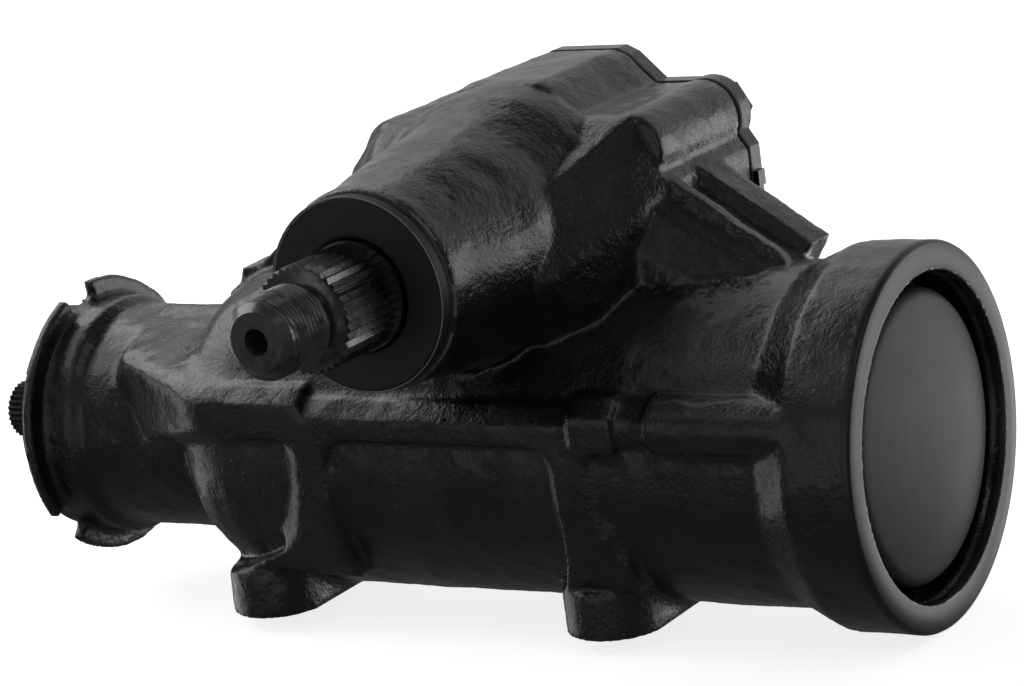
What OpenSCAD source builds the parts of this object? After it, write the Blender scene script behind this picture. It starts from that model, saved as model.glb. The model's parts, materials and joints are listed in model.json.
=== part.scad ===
// Recirculating-ball power steering gear.
// Gear frame: x along the main bore, x = 0 at the pitman shaft, bore axis at y = z = 0.
// Part frame: origin at the middle of the four mounting holes, on the mounting face.

/* [Housing] */
// Bore axis above the mounting face
bore_height = 48.3; // [46:0.1:60]
// Pitman axis ahead of the middle of the mounting holes
pitman_offset = 23.5; // [10:0.5:40]
// Main bore radius
bore_r = 38.1; // [36:0.1:40]
// Outside radius of the barrel
barrel_r = 47.8; // [44:0.1:52]
// Outside radius of the collar at the end plug
collar_r = 53.2; // [50:0.1:58]
// Length of the collar
collar_len = 19.7; // [15:0.1:26]
// Pitman axis to the face of the collar
collar_face = 122.9; // [118:0.1:135]
// Pitman axis to the input face
input_face = 158.6; // [155:0.1:170]
// Outside radius of the valve case
valve_case_r = 33.5; // [31:0.1:37]
// Radius of the input flange
input_flange_r = 42.3; // [40:0.1:46]
// Thickness of the input flange
input_flange_t = 3.4; // [2:0.1:6]
// Input face to the web between the valve and the piston
web_x = 63.6; // [60.6:0.5:66.6]
// Thickness of the web
web_t = 9; // [6:0.5:12]

/* [Mounting] */
// Hole spacing along the bore
hole_pitch_x = 114.3; // [100:0.1:130]
// Hole spacing across the bore
hole_pitch_y = 58; // [50:0.5:66]
// Tapped hole radius
mount_hole_r = 4.7; // [4:0.1:6]
// Tapped hole depth
mount_hole_depth = 15; // [10:0.5:18]
// Radius of a lug
lug_r = 14.5; // [12:0.5:17]
// Thickness of a lug
lug_t = 13.5; // [10:0.5:18]

/* [Sector chamber] */
// Bore axis to the side cover face
cover_plane = 47; // [44:0.5:52]
// Pitman axis to the side cover bolts, along the bore
cover_bolt_dx = 38; // [37:0.5:44]
// Pitman axis to the side cover bolts, upwards
cover_bolt_dz = 18.8; // [16:0.2:22]
// Pitman axis to the lower side cover bolts, downwards
cover_bolt_drop = 22.5; // [21:0.5:26]
// Side cover bolt shank radius
cover_bolt_r = 4.6; // [3.5:0.1:5]
// Radius of a bolt boss
cover_boss_r = 11; // [9:0.5:13]
// Pitman axis to the top of the chamber
chamber_top = 39.3; // [37:0.1:44]
// Bore axis to the rim of the pitman trunk
trunk_len = 79.8; // [74:0.1:90]
// Radius of the trunk at its rim
trunk_rim_r = 28; // [27:0.1:31]
// Radius of the trunk at its root
trunk_root_r = 34.5; // [32:0.1:38]

/* [Steering gear] */
// Pitch radius of the sector
sector_pitch_r = 30; // [29.5:0.1:30.5]
// Bore axis to the pitch line of the rack
rack_line = 30.7; // [30.2:0.1:31.2]
// Pressure angle of the teeth
pressure_angle = 25; // [23:0.5:27]
// Play between the teeth
backlash = 0.3; // [0.2:0.05:0.5]
// Width of the sector teeth
sector_w = 36; // [28:1:38]
// Length of the rack piston
piston_len = 132; // [128:1:136]
// Lead of the worm
lead = 12.7; // [12:0.1:13.5]
// Radius of the ball circle
ball_circle_r = 12.9; // [12.5:0.1:13.5]
// Radius of a ball
ball_r = 3.57; // [3:0.01:3.8]
// Room round a ball in its groove
ball_room = 0.35; // [0.25:0.05:0.5]
// Turns of the ball circuit
circuit_turns = 3; // [2:1:3]
// Pitman axis to the middle of the ball circuit
circuit_x = -15; // [-17:0.5:-13]

/* [Pitman shaft] */
// Radius of the main journal
journal_r = 17.5; // [16:0.1:18]
// Radius of the upper journal
upper_journal_r = 14; // [13:0.1:15]
// Crest radius of the output spline
spline_r = 14.6; // [13.5:0.1:16]
// Number of spline teeth
spline_teeth = 36; // [24:1:48]
// Bore axis to the small end of the spline
spline_end = 109.2; // [104:0.1:116]
// Radius of the output thread
thread_r = 11.1; // [9.5:0.1:12.5]
// Bore axis to the end of the thread
thread_end = 130.4; // [124:0.1:138]

/* [Input shaft and valve] */
// Radius of the input shaft
stub_r = 9.1; // [8:0.1:10]
// Length of shaft past the input face
stub_reach = 34.5; // [25:0.5:45]
// Radius of the valve bore
valve_bore_r = 25; // [24:0.1:26]
// Radius of the valve spool
spool_r = 17; // [16:0.1:18]
// Length of the valve body
valve_len = 29; // [26:0.5:30]
// Radius of the adjuster plug
adjuster_r = 29; // [27.5:0.1:30]
// Radius of the torsion bar
torsion_r = 3.2; // [2.5:0.1:3.6]

/* [Ports] */
// Tapped radius of the pressure port
pressure_port_r = 7.2; // [6:0.1:8]
// Tapped radius of the return port
return_port_r = 8; // [7:0.1:9]
// Bore axis to the port faces
port_face = 46; // [44:0.5:52]

/* [Clearances] */
// Radial room of a running shaft
run_room = 0.04; // [0.02:0.01:0.08]
// Room between seated pieces
seat_room = 0.02; // [0.01:0.01:0.05]

/* [Hidden] */
$fn = 64;
hull_fn = 32;
overlap = 1;

center_distance = rack_line + sector_pitch_r;

// Teeth of the rack and sector, as cut from a full gear
full_teeth = 9;
tooth_module = 2 * sector_pitch_r / full_teeth;
tooth_pitch = PI * tooth_module;
tooth_angle = 360 / full_teeth;
rack_addendum = 0.8 * tooth_module;
sector_addendum = 0.75 * tooth_module;
root_room = 0.2 * tooth_module;
sector_tip_r = sector_pitch_r + sector_addendum;
sector_root_r = sector_pitch_r - rack_addendum - root_room;
base_r = sector_pitch_r * cos(pressure_angle);
root_relief = 2;
rack_top = rack_line + rack_addendum;
rack_root = rack_line - sector_addendum - root_room;
rack_half = 2 * tooth_pitch + 9;
flank_steps = 6;

// Rack piston and ball screw
piston_r = bore_r - run_room;
piston_end = piston_len / 2;
worm_r = ball_circle_r - 0.9;
nut_r = worm_r + ball_room;
groove_r = ball_r + ball_room;
circuit_half = circuit_turns * lead / 2;
worm_extra_turns = 2;
groove_half = circuit_half + worm_extra_turns * lead;
groove_slices = 20;
outer_points = 8;
inner_points = 5;
ball_step = 2.12 * ball_r;
plug_cavity_r = 20;
plug_len = 12;
plug_wall = 3;
ring_w = 3;
ring_depth = 3;
guide_r = ball_r + 1.5;
guide_bore_r = ball_r + ball_room;
guide_z = 27.4;
guide_bend = guide_r + 1;
guide_leg_top = ball_circle_r + groove_r + 0.6;
pocket_z = guide_z - guide_r - 1;
pocket_half_w = 11;
pocket_margin = 9;
clamp_t = 1.6;
clamp_w = 9;
clamp_screw_r = 2;
clamp_screw_dy = 7.4;
clamp_screw_grip = 4;
clamp_screw_len = guide_z + guide_r + clamp_t - pocket_z + clamp_screw_grip;

// Sector chamber
chamber_r = sector_tip_r + 1;
chamber_upper_r = 29;
chamber_half_w = sector_w / 2 + 1.5;
chamber_swing = 8;
bulge_half_w = 15;
flange_flat = 29.3;
flange_side = cover_bolt_dx + 12.5;
flange_corner = cover_bolt_dz / 2;
flange_left = cover_bolt_dx + 16;
flange_left_corner = cover_bolt_dz - 4;
flange_low = chamber_r + 5;
gasket_t = 0.8;
cover_t = 5.5;
cover_boss_in = 16;
cover_boss_r1 = upper_journal_r + 7;
cover_hub_r = 21;
cover_hub_h = 10;
bush_wall = 2.5;
bolt_room = 0.15;
bolt_head_h = 6.4;
bolt_head_r = 8.4;
cover_tab = [1.6, 4, 4.5];
bolt_depth = 17;
lash_r = 6.5;
lash_head_r = 9.6;
lash_head_h = 4;
lash_reach = 17;
lock_nut_r = 11.5;
lock_nut_h = 8;
shaft_top = cover_plane + 3;
slot_floor = shaft_top - 8;

// Pitman trunk
bearing_wall = 3.4;
bearing_r = journal_r + bearing_wall;
bearing_gap = 2;
seal_bore_r = 22.6;
seal_len = 7;
washer_t = 1.2;
snap_t = 1.8;
shield_skirt = 1.6;
snap_groove = 1.4;
snap_y = trunk_len - shield_skirt - snap_t - 0.5;
bearing_end = snap_y - 2 * washer_t - 2 * seal_len;
bearing_start = chamber_half_w + 2;
bearing_len = (bearing_end - bearing_start - bearing_gap) / 2;
trunk_mouth = trunk_len - 5.5;
shield_r = trunk_rim_r - 1.3;
shield_t = 4.2;
shield_skirt_r = seal_bore_r - 0.6;
neck_r = spline_r + 0.6;
spline_start = trunk_len + shield_t + 1.5;
spline_depth = 1;
spline_core_r = spline_r - spline_depth - 0.3;
thread_neck = 3;
thread_neck_r = thread_r - 1;
thread_chamfer = 3.2;
centre_drill_r = 3.6;
centre_drill_depth = 6;

// End plug and collar
plug_seat = collar_face - 27;
plug_bore_r = bore_r + 6.2;
plug_rim_t = 9;
mouth_r = 45.1;
dome_x = collar_face - 6.7;
dome_edge_r = 4;
dome_turn = 75;
plug_skirt = 5.5;
ring_wire_r = 1.9;
ring_gap = 8;
ring_seat_x = plug_seat + plug_rim_t + ring_wire_r;
neck_len = 11.5;
o_ring_r = 1.6;

// Valve end
web_right = web_x - input_face;
web_left = web_right - web_t;
web_hole_r = 15;
race_t = 1.4;
roller_t = 3;
thrust_stack = 2 * race_t + roller_t;
worm_head_t = 4;
worm_head_r = valve_bore_r - 3;
worm_head_x = web_left - thrust_stack;
valve_x1 = worm_head_x - worm_head_t;
valve_x0 = valve_x1 - valve_len;
plug_inner = valve_x0 - thrust_stack;
plug_outer = -input_face - 7.5;
thread_bore_x = plug_inner + 3;
nut_t = 6;
nut_r_out = adjuster_r + 6;
valve_body_r = valve_bore_r - run_room;
valve_ring_depth = 1.6;
valve_ring_w = 2.4;
worm_tail_r = web_hole_r - 0.35;
bar_end_r = torsion_r + 1.2;
bar_end_len = 12;
bar_reach = 40;
stub_inner = valve_x1 - 0.3;
stub_end = -input_face - stub_reach;
stub_bearing_wall = 3.2;
stub_bearing_len = 6;
stub_journal_r = stub_r + 0.5;
stub_seal_r = stub_journal_r + 5.5;
stub_seal_t = 5;
dust_seal_t = 2.4;
stub_ring_t = 1.4;
spline_cut = 0.7;
stub_shoulder_x = plug_outer - 1.5;
stub_crest_r = stub_r - 0.1;
stub_core_r = stub_crest_r - spline_cut - 0.3;
stub_spline_teeth = 30;
stub_spline_len = 16;
spool_slots = 6;
spool_pin_r = 2;
spool_pin_x = valve_x0 + 5;

// Outside forms of the casting
hub_r = valve_case_r + 2.9;
hub_x = -input_face + 12.7;
case_shoulder = 22;
lobe_notch = 17;
lobe_root_r = input_flange_r - 5.2;
lobe_first = 102;
lobe_count = 3;
gallery_y = -43.3;
gallery_z = 14.8;
gallery_r = 8.3;
gallery_x0 = 62;
gallery_block = [38.5, 52, 63];
gallery_block_y = barrel_r + 3.5;
gallery_block_z = [6.5, 23];
pad_x = [web_left + 16, -50];
pad_y = barrel_r + 2.2;
pad_z = [9, 19];
pad_ramp = [web_left - 25, 29];
band_z = [9, 21];
band_y = barrel_r + 2;
band_low = band_z[0] + 1;
rib_crest = [[-53, -44], [31, 40]];
rib_flank = [[13, 1], [1, 9]];
rib_flare = 5;
rib_corner = 9;
rib_root = 30;
rib_drop = band_low + bore_height - lug_t;
flank_y = barrel_r - 4;
flank_crest = barrel_r + 2;
lug_foot = lug_r - 5;
rib_front = [
    [band_y, band_low + overlap], [band_y, 5], [band_y - 0.6, -8], [band_y - 2.6, -20], [band_y - 6, -29],
    [hole_pitch_y / 2 + lug_r - 3, lug_t - bore_height]
];
strut_lead = 10;
strut_foot = 15;
strut_lip = [8, 3];
strut_deep = 26;
strut_back = 30;
strut_root = [54, 65.5];
strut_tip = [81.6, 49];
strut_back_root = [50, 71.9];
strut_back_tip = [83, 49.4];
strut_channel = [5, 17];
strut_channel_depth = 4;
port_at = [[web_left - 9, 17], [web_left - 29, 8]];
port_boss_r = 12.5;
port_depth = 14;
port_drill_r = 4.5;
port_seat_h = 5;
port_seat_r = port_drill_r + 1.6;
valve_strut_y = [0, 15];
valve_strut_root = [-54, 70];
valve_strut_steps = [[17, 18.1], [12.3, 14.4], [4, 12.5], [2.2, 7.3], [-1.7, 5.7], [-2.8, 0]];
loft_front = 40;
wall_ridge = [
    [trunk_root_r - 2, -46, -8], [trunk_root_r - 4.5, -33, flange_flat / 2],
    [flange_side - 3, -12, 4], [22, -loft_front, -24]
];
lug_x = [-hole_pitch_x / 2 - pitman_offset, hole_pitch_x / 2 - pitman_offset];

// Moves a piece from the gear frame to the part frame
module place() {
    translate([pitman_offset, 0, bore_height]) children();
}

// Cylinder along the bore axis
module rod_x(x0, x1, r) {
    translate([x0, 0, 0]) rotate([0, 90, 0]) cylinder(h = x1 - x0, r = r);
}

// Washer or tube along the bore axis
module tube_x(x0, x1, r_out, r_in) {
    difference() {
        rod_x(x0, x1, r_out);
        rod_x(x0 - overlap, x1 + overlap, r_in);
    }
}

// Outline of [x, radius] points turned about the bore axis
module turn_x(points) {
    rotate([0, 90, 0]) rotate_extrude() polygon([for (p = points) [p[1], p[0]]]);
}

// Round ring of wire about the bore axis
module wire_x(x, ring_r, wire_r) {
    translate([x, 0, 0]) rotate([0, 90, 0]) rotate_extrude() translate([ring_r, 0]) circle(r = wire_r);
}

// Cylinder along the pitman axis
module rod_y(y0, y1, r) {
    translate([0, y0, center_distance]) rotate([-90, 0, 0]) cylinder(h = y1 - y0, r = r);
}

// Washer or tube along the pitman axis
module tube_y(y0, y1, r_out, r_in) {
    difference() {
        rod_y(y0, y1, r_out);
        rod_y(y0 - overlap, y1 + overlap, r_in);
    }
}

// Outline of [y, radius] points turned about the pitman axis
module turn_y(points) {
    translate([0, 0, center_distance]) rotate([-90, 0, 0])
        rotate_extrude() polygon([for (p = points) [p[1], p[0]]]);
}

// Flat outline in x and z, given thickness along y
module slab_y(y0, y1) {
    translate([0, y1, 0]) rotate([90, 0, 0]) linear_extrude(y1 - y0) children();
}

// Flat outline in y and z, given thickness along x
module slab_x(x0, x1) {
    translate([x0, 0, 0]) rotate([90, 0, 90]) linear_extrude(x1 - x0) children();
}

// The four side cover bolts
module at_cover_bolts() {
    for (sx = [-1, 1], z = [cover_bolt_dz, -cover_bolt_drop])
        translate([sx * cover_bolt_dx, 0, center_distance + z]) children();
}

// The four mounting holes, on the mounting face
module at_mount_holes() {
    for (x = lug_x, s = [-1, 1])
        translate([x, s * hole_pitch_y / 2, -bore_height]) children();
}

// Outline of the sector chamber and of its cover
module cover_outline() {
    top = center_distance + chamber_top;
    flat = center_distance + flange_flat;
    low = center_distance - flange_low;
    polygon([
        [-flange_left, low], [flange_side, low], [flange_side, center_distance + flange_corner],
        [cover_bolt_dx, flat], [bulge_half_w + 8, flat],
        [bulge_half_w, top - 2], [bulge_half_w - 4, top],
        [4 - bulge_half_w, top], [-bulge_half_w, top - 2],
        [-bulge_half_w - 8, flat], [-cover_bolt_dx, flat],
        [-flange_left, center_distance + flange_left_corner]
    ]);
    for (sx = [-1, 1], z = [cover_bolt_dz, -cover_bolt_drop])
        translate([sx * cover_bolt_dx, center_distance + z]) circle(r = cover_boss_r);
}

// Helical groove of round section about the bore axis, in phase with the ball circuit
module ball_groove(x0, turns) {
    function bow(s) = sqrt(max(0, groove_r * groove_r - s * s));
    outer = [for (i = [-outer_points : outer_points]) let (s = groove_r * i / outer_points)
        [ball_circle_r + bow(s), 360 * s / lead]];
    inner = [for (i = [inner_points - 1 : -1 : 1 - inner_points])
        let (s = groove_r * sin(90 * i / inner_points))
        [ball_circle_r - bow(s), 360 * s / lead]];
    phase = 360 * (x0 - circuit_x + circuit_half) / lead;
    translate([x0, 0, 0]) rotate([0, 90, 0]) rotate([0, 0, phase])
        linear_extrude(height = turns * lead, twist = -360 * turns,
            slices = ceil(turns * groove_slices), $fn = 4)
            polygon([for (p = concat(outer, inner)) p[0] * [cos(p[1]), sin(p[1])]]);
}

// Turned outside of the barrel, valve case and collar
module barrel_body() {
    turn_x([
        [-input_face + overlap / 2, 0], [-input_face + overlap / 2, hub_r], [hub_x, hub_r],
        [hub_x + 3, valve_case_r], [web_left, valve_case_r],
        [web_left + case_shoulder * 0.12, valve_case_r + 4], [web_left + case_shoulder * 0.3, barrel_r - 6],
        [web_left + case_shoulder * 0.6, barrel_r - 2.4], [web_left + case_shoulder, barrel_r],
        [collar_face - collar_len - neck_len, barrel_r], [collar_face - collar_len, collar_r],
        [collar_face - 1, collar_r], [collar_face, collar_r - 1], [collar_face, 0]
    ]);
}

// Thin input flange with three lobes
module input_flange() {
    difference() {
        rod_x(-input_face, -input_face + input_flange_t, input_flange_r);
        for (i = [0 : lobe_count - 1]) rotate([lobe_first + i * 360 / lobe_count, 0, 0])
            slab_x(-input_face - overlap, -input_face + input_flange_t + overlap)
                polygon([
                    lobe_root_r * [cos(lobe_notch / 2), sin(lobe_notch / 2)],
                    2 * input_flange_r * [cos(lobe_notch / 2), sin(lobe_notch / 2)],
                    2 * input_flange_r * [cos(lobe_notch / 2), -sin(lobe_notch / 2)],
                    lobe_root_r * [cos(lobe_notch / 2), -sin(lobe_notch / 2)]
                ]);
    }
}

// Trunk that carries the pitman shaft and swells up to the top of the chamber
module trunk() {
    turn_y([
        [-trunk_len, 0], [-trunk_len, trunk_rim_r - 1], [-trunk_len + 1, trunk_rim_r],
        [-trunk_len + 11, trunk_rim_r + 0.5], [-loft_front, trunk_root_r - 1.5],
        [-loft_front * 0.7, trunk_root_r - 0.3], [-loft_front * 0.55, trunk_root_r + 1],
        [-loft_front * 0.43, chamber_top - 2.4], [-loft_front * 0.3, chamber_top - 0.8],
        [-loft_front * 0.1, chamber_top], [0, chamber_top], [0, 0]
    ]);
}

// Wall of the chamber beside the trunk, from the cover face forward to its ridge
module chamber_wall(side, reach, corner) {
    low = center_distance - flange_low;
    flat = center_distance + flange_flat;
    scale([side, 1, 1]) hull() {
        slab_y(-overlap, 0) polygon([
            [0, low], [reach, low], [reach, center_distance + corner],
            [cover_bolt_dx + 3, flat], [0, flat]
        ]);
        for (p = wall_ridge) translate([0, p[1], center_distance + p[2]]) cube([p[0], overlap, overlap]);
    }
}

// Bar along the slope of a gusset, given its section across the slope
module strut_bar(root, tip, section) {
    run = tip - root;
    translate([root[0], 0, root[1]]) rotate([0, -atan2(run[1], run[0]), 0])
        slab_x(-strut_lead, norm(run)) polygon(section);
}

// Gusset from the chamber down to the neck of the collar
module strut() {
    strut_bar(strut_root, strut_tip, [
        [-strut_foot, -strut_deep], [-strut_foot, -strut_deep / 2], [-strut_lip[0], -strut_lip[1]],
        [0, 0], [overlap, 0], [overlap, -strut_deep]
    ]);
    difference() {
        strut_bar(strut_back_root, strut_back_tip, [
            [0, 0], [strut_back - 2, 0], [strut_back, -2], [strut_back, -strut_deep], [0, -strut_deep]
        ]);
        strut_bar(strut_back_root, strut_back_tip + [overlap, 0], [
            [strut_channel[0], -strut_channel_depth], [strut_channel[0], overlap],
            [strut_channel[1], overlap], [strut_channel[1] - 2, -strut_channel_depth]
        ]);
    }
}

// Oil gallery bar along the front of the barrel, with the band that leads to it
module gallery() {
    translate([0, gallery_y, gallery_z]) rod_x(gallery_x0, collar_face - collar_len, gallery_r);
    slab_x(pad_x[1] - overlap, gallery_block[0] + overlap)
        polygon([
            [-rib_root, band_z[0]], [-band_y, band_z[0]], [-band_y, band_z[1] - 6],
            [4 - band_y, band_z[1] - 1], [8 - band_y, band_z[1]], [-rib_root, band_z[1]]
        ]);
    slab_x(gallery_block[0], gallery_block[1])
        polygon([
            [-rib_root, gallery_block_z[0]], [3 - gallery_block_y, gallery_block_z[0]],
            [-gallery_block_y, gallery_block_z[0] + 3], [-gallery_block_y, gallery_block_z[1] - 5],
            [5 - gallery_block_y, gallery_block_z[1]], [-rib_root, gallery_block_z[1]]
        ]);
    slab_x(gallery_block[1] - overlap, gallery_block[2])
        polygon([
            [-rib_root, gallery_block_z[0] + 2], [5 - gallery_block_y, gallery_block_z[0] + 2],
            [2 - gallery_block_y, gallery_block_z[0] + 5], [2 - gallery_block_y, gallery_block_z[1] - 6],
            [7 - gallery_block_y, gallery_block_z[1] - 1], [-rib_root, gallery_block_z[1] - 1]
        ]);
}

// Pad between the valve case and the first rib, ramped down to the case at its free end
module valve_pad() {
    intersection() {
        slab_x(pad_ramp[0], pad_x[1])
            polygon([
                [0, valve_case_r + 2], [-8, valve_case_r - 1.2], [5 - pad_y, pad_z[1] + 4],
                [-pad_y, pad_z[1]], [-pad_y, pad_z[0]], [-pad_y / 2, -4], [0, 0]
            ]);
        translate([0, 0, -barrel_r]) linear_extrude(2 * barrel_r)
            polygon([
                [pad_ramp[0], -pad_ramp[1]], [pad_x[0] - 2, 1 - pad_y], [pad_x[0], -pad_y],
                [pad_x[1], -pad_y], [pad_x[1], 0], [pad_ramp[0], 0]
            ]);
    }
}

// Edge of a rib, rounded into the band above and spreading out to the lug below
function rib_edge(x_top, x_low, turn) = [for (t = [0 : 0.0625 : 1])
    let (drop = t * rib_drop, left = max(0, rib_corner - drop))
    [x_top + (x_low - x_top) * pow(t, rib_flare)
        + turn * (rib_corner - sqrt(rib_corner * rib_corner - left * left)), band_low - drop]];

// Rib down the side of the barrel, with its flank, that spreads out into a lug
module lug_rib(crest, flank, x_low, side) {
    left = rib_edge(crest[0], x_low - lug_foot, -1);
    right = rib_edge(crest[1], x_low + lug_foot, 1);
    scale([1, -side, 1]) intersection() {
        union() {
            slab_y(-bore_height - 10, -rib_root)
                polygon(concat(left, [for (i = [len(right) - 1 : -1 : 0]) right[i]]));
            translate([0, 0, lug_t - bore_height]) linear_extrude(rib_drop)
                polygon([
                    [crest[0] - flank[0], -rib_root], [crest[0] - flank[0], -flank_y],
                    [crest[0], -flank_crest], [crest[1], -flank_crest],
                    [crest[1] + flank[1], -flank_y], [crest[1] + flank[1], -rib_root]
                ]);
        }
        slab_x(crest[0] - 4 * lug_r, crest[1] + 4 * lug_r)
            polygon(concat([[-rib_root, band_low + overlap]], [for (p = rib_front) [-p[0], p[1]]],
                [[-rib_root, lug_t - bore_height]]));
    }
}

// Mounting lug with its web under the barrel
module lug(x, side) {
    y = side * hole_pitch_y / 2;
    translate([x, y, -bore_height]) cylinder(h = lug_t, r = lug_r);
    translate([x - lug_r, side > 0 ? 0 : y, -bore_height]) cube([2 * lug_r, abs(y), lug_t]);
}

// The two hose ports, facing away from the pitman output
module at_ports() {
    for ($port = [0, 1]) translate([port_at[$port][0], port_face, port_at[$port][1]])
        rotate([-90, 0, 0]) children();
}

// Bosses of the two hose ports
module port_bosses() {
    at_ports() translate([0, 0, -port_face]) cylinder(h = port_face, r = port_boss_r);
}

// Stepped gusset from the chamber down to the valve case
module valve_strut() {
    slab_y(valve_strut_y[0], valve_strut_y[1])
        polygon(concat(
            [[-chamber_upper_r, valve_bore_r], [-chamber_upper_r, valve_strut_root[1]], valve_strut_root],
            [for (p = valve_strut_steps) [web_left + p[0], valve_case_r + p[1]]],
            [[web_left + valve_strut_steps[5][0], valve_bore_r]]
        ));
}

// Everything that the machining takes out of the casting
module housing_cuts() {
    rod_x(web_right, plug_seat + overlap, bore_r);
    rod_x(plug_seat, collar_face + overlap, plug_bore_r);
    turn_x([[collar_face - 4, plug_bore_r - 1], [collar_face - 4, mouth_r],
        [collar_face + overlap, mouth_r], [collar_face + overlap, plug_bore_r - 1]]);
    wire_x(ring_seat_x, plug_bore_r - 0.1, ring_wire_r + seat_room);
    rod_x(web_left - overlap, web_right + overlap, web_hole_r);
    rod_x(thread_bore_x - overlap, web_left, valve_bore_r);
    rod_x(-input_face - overlap, thread_bore_x, adjuster_r + seat_room);
    slab_y(-chamber_half_w, chamber_half_w) chamber_outline();
    slab_y(0, cover_plane + overlap) chamber_outline();
    slab_y(cover_plane, cover_plane + cover_t) cover_outline();
    rod_y(-trunk_mouth, 0, bearing_r + seat_room);
    rod_y(-trunk_len - overlap, -bearing_end, seal_bore_r);
    rod_y(-snap_y - snap_t - seat_room, -snap_y + seat_room, seal_bore_r + snap_groove);
    at_mount_holes() translate([0, 0, -overlap]) cylinder(h = mount_hole_depth + overlap, r = mount_hole_r);
    at_cover_bolts() translate([0, cover_plane + overlap, 0]) rotate([90, 0, 0])
        cylinder(h = bolt_depth + 3, r = cover_bolt_r + bolt_room);
    at_ports() port_hole([pressure_port_r, return_port_r][$port]);
}

// Port counterbored for its thread, drilled down to the valve
module port_hole(r) {
    translate([0, 0, -port_depth]) cylinder(h = port_depth + overlap, r = r);
    translate([0, 0, -port_depth - port_seat_h])
        cylinder(h = port_seat_h + overlap, r = port_seat_r + seat_room);
    translate([0, 0, valve_bore_r * 0.6 - port_face]) cylinder(h = port_face - port_depth, r = port_drill_r);
}

// Room that the sector needs to swing
module chamber_outline() {
    translate([0, center_distance]) {
        circle(r = chamber_upper_r);
        intersection() {
            circle(r = chamber_r);
            translate([-chamber_r, -chamber_r]) square([2 * chamber_r, chamber_r + chamber_swing]);
        }
    }
}

module gear_housing() {
    color("#1c1e20") place() difference() {
        union() {
            barrel_body();
            input_flange();
            trunk();
            chamber_wall(1, flange_side, flange_corner);
            chamber_wall(-1, flange_left, flange_left_corner);
            slab_y(0, cover_plane) cover_outline();
            strut();
            gallery();
            valve_pad();
            port_bosses();
            valve_strut();
            for (i = [0, 1], side = [-1, 1]) {
                lug(lug_x[i], side);
                lug_rib(rib_crest[i], rib_flank[i], lug_x[i], side);
            }
        }
        housing_cuts();
    }
}

module end_plug() {
    x0 = plug_seat + plug_rim_t;
    neck = plug_bore_r - 3.7;
    crown = (neck - dome_edge_r * (1 - cos(dome_turn))) / cos(dome_turn);
    x1 = dome_x + dome_edge_r * sin(dome_turn);
    color("#4a4c4f") place() difference() {
        turn_x(concat(
            [[plug_seat, 0], [plug_seat, plug_bore_r - seat_room], [x0, plug_bore_r - seat_room], [x0, neck]],
            [for (i = [0 : 6]) let (a = dome_turn * i / 6)
                [dome_x + dome_edge_r * sin(a), neck - dome_edge_r * (1 - cos(a))]],
            [for (i = [1 : 6]) let (a = dome_turn + (90 - dome_turn) * i / 6)
                [x1 + crown * (sin(a) - sin(dome_turn)), crown * cos(a)]]
        ));
        turn_x([
            [plug_seat - overlap, 0], [plug_seat - overlap, neck - plug_skirt],
            [dome_x - 4, neck - plug_skirt - 2], [dome_x, neck - plug_skirt - 8], [dome_x, 0]
        ]);
        wire_x(plug_seat + plug_rim_t / 2, plug_bore_r - o_ring_r, o_ring_r);
    }
}

module end_plug_ring() {
    color("#3a3c3e") place() difference() {
        wire_x(ring_seat_x, plug_bore_r - 0.1, ring_wire_r);
        translate([ring_seat_x, 0, -plug_bore_r]) cube([3 * ring_wire_r, ring_gap, 4 * ring_wire_r + 4], center = true);
    }
}

module end_plug_seal() {
    color("#101010") place() wire_x(plug_seat + plug_rim_t / 2, plug_bore_r - o_ring_r, o_ring_r - seat_room);
}

module side_cover() {
    inner = cover_plane + gasket_t;
    outer = inner + cover_t;
    color("#232527") place() difference() {
        union() {
            slab_y(inner, outer) cover_outline();
            rod_y(inner - cover_boss_in, inner + overlap, cover_boss_r1);
            rod_y(outer - overlap, outer + cover_hub_h, cover_hub_r);
            translate([flange_side - overlap, inner, center_distance - cover_tab[2] / 2])
                cube(cover_tab + [overlap, 0, 0]);
        }
        rod_y(inner - cover_boss_in - overlap, shaft_top + 2, upper_journal_r + bush_wall + seat_room);
        rod_y(inner, outer + cover_hub_h + overlap, lash_r + seat_room);
        at_cover_bolts() translate([0, outer + overlap, 0]) rotate([90, 0, 0])
            cylinder(h = cover_t + 2 * overlap, r = cover_bolt_r + bolt_room);
    }
}

module side_cover_gasket() {
    color("#2b2a26") place() difference() {
        slab_y(cover_plane, cover_plane + gasket_t) cover_outline();
        slab_y(cover_plane - overlap, cover_plane + gasket_t + overlap) chamber_outline();
        at_cover_bolts() translate([0, cover_plane + gasket_t + overlap, 0]) rotate([90, 0, 0])
            cylinder(h = gasket_t + 2 * overlap, r = cover_bolt_r + bolt_room);
    }
}

module side_cover_bolts() {
    seat = cover_plane + gasket_t + cover_t;
    color("#3c3d3f") place() at_cover_bolts() {
        translate([0, seat, 0]) rotate([90, 0, 0])
            cylinder(h = seat - cover_plane + bolt_depth, r = cover_bolt_r);
        translate([0, seat + bolt_head_h, 0]) rotate([90, 0, 0])
            cylinder(h = bolt_head_h, r = bolt_head_r, $fn = 6);
        translate([0, seat + 1.5, 0]) rotate([90, 0, 0]) cylinder(h = 1.5, r = bolt_head_r + 1);
    }
}

module side_cover_bush() {
    inner = cover_plane + gasket_t - cover_boss_in;
    color("#b5a26a") place() tube_y(inner, shaft_top, upper_journal_r + bush_wall, upper_journal_r + run_room);
}

module lash_adjuster() {
    outer = cover_plane + gasket_t + cover_t + cover_hub_h;
    color("#55575a") place() difference() {
        union() {
            rod_y(slot_floor + 0.2, slot_floor + 0.2 + lash_head_h, lash_head_r);
            rod_y(slot_floor + 0.2, outer + lash_reach, lash_r);
        }
        translate([-1, outer + lash_reach - 3, center_distance - lash_r - overlap])
            cube([2, 4, 2 * lash_r + 2 * overlap]);
    }
}

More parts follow.
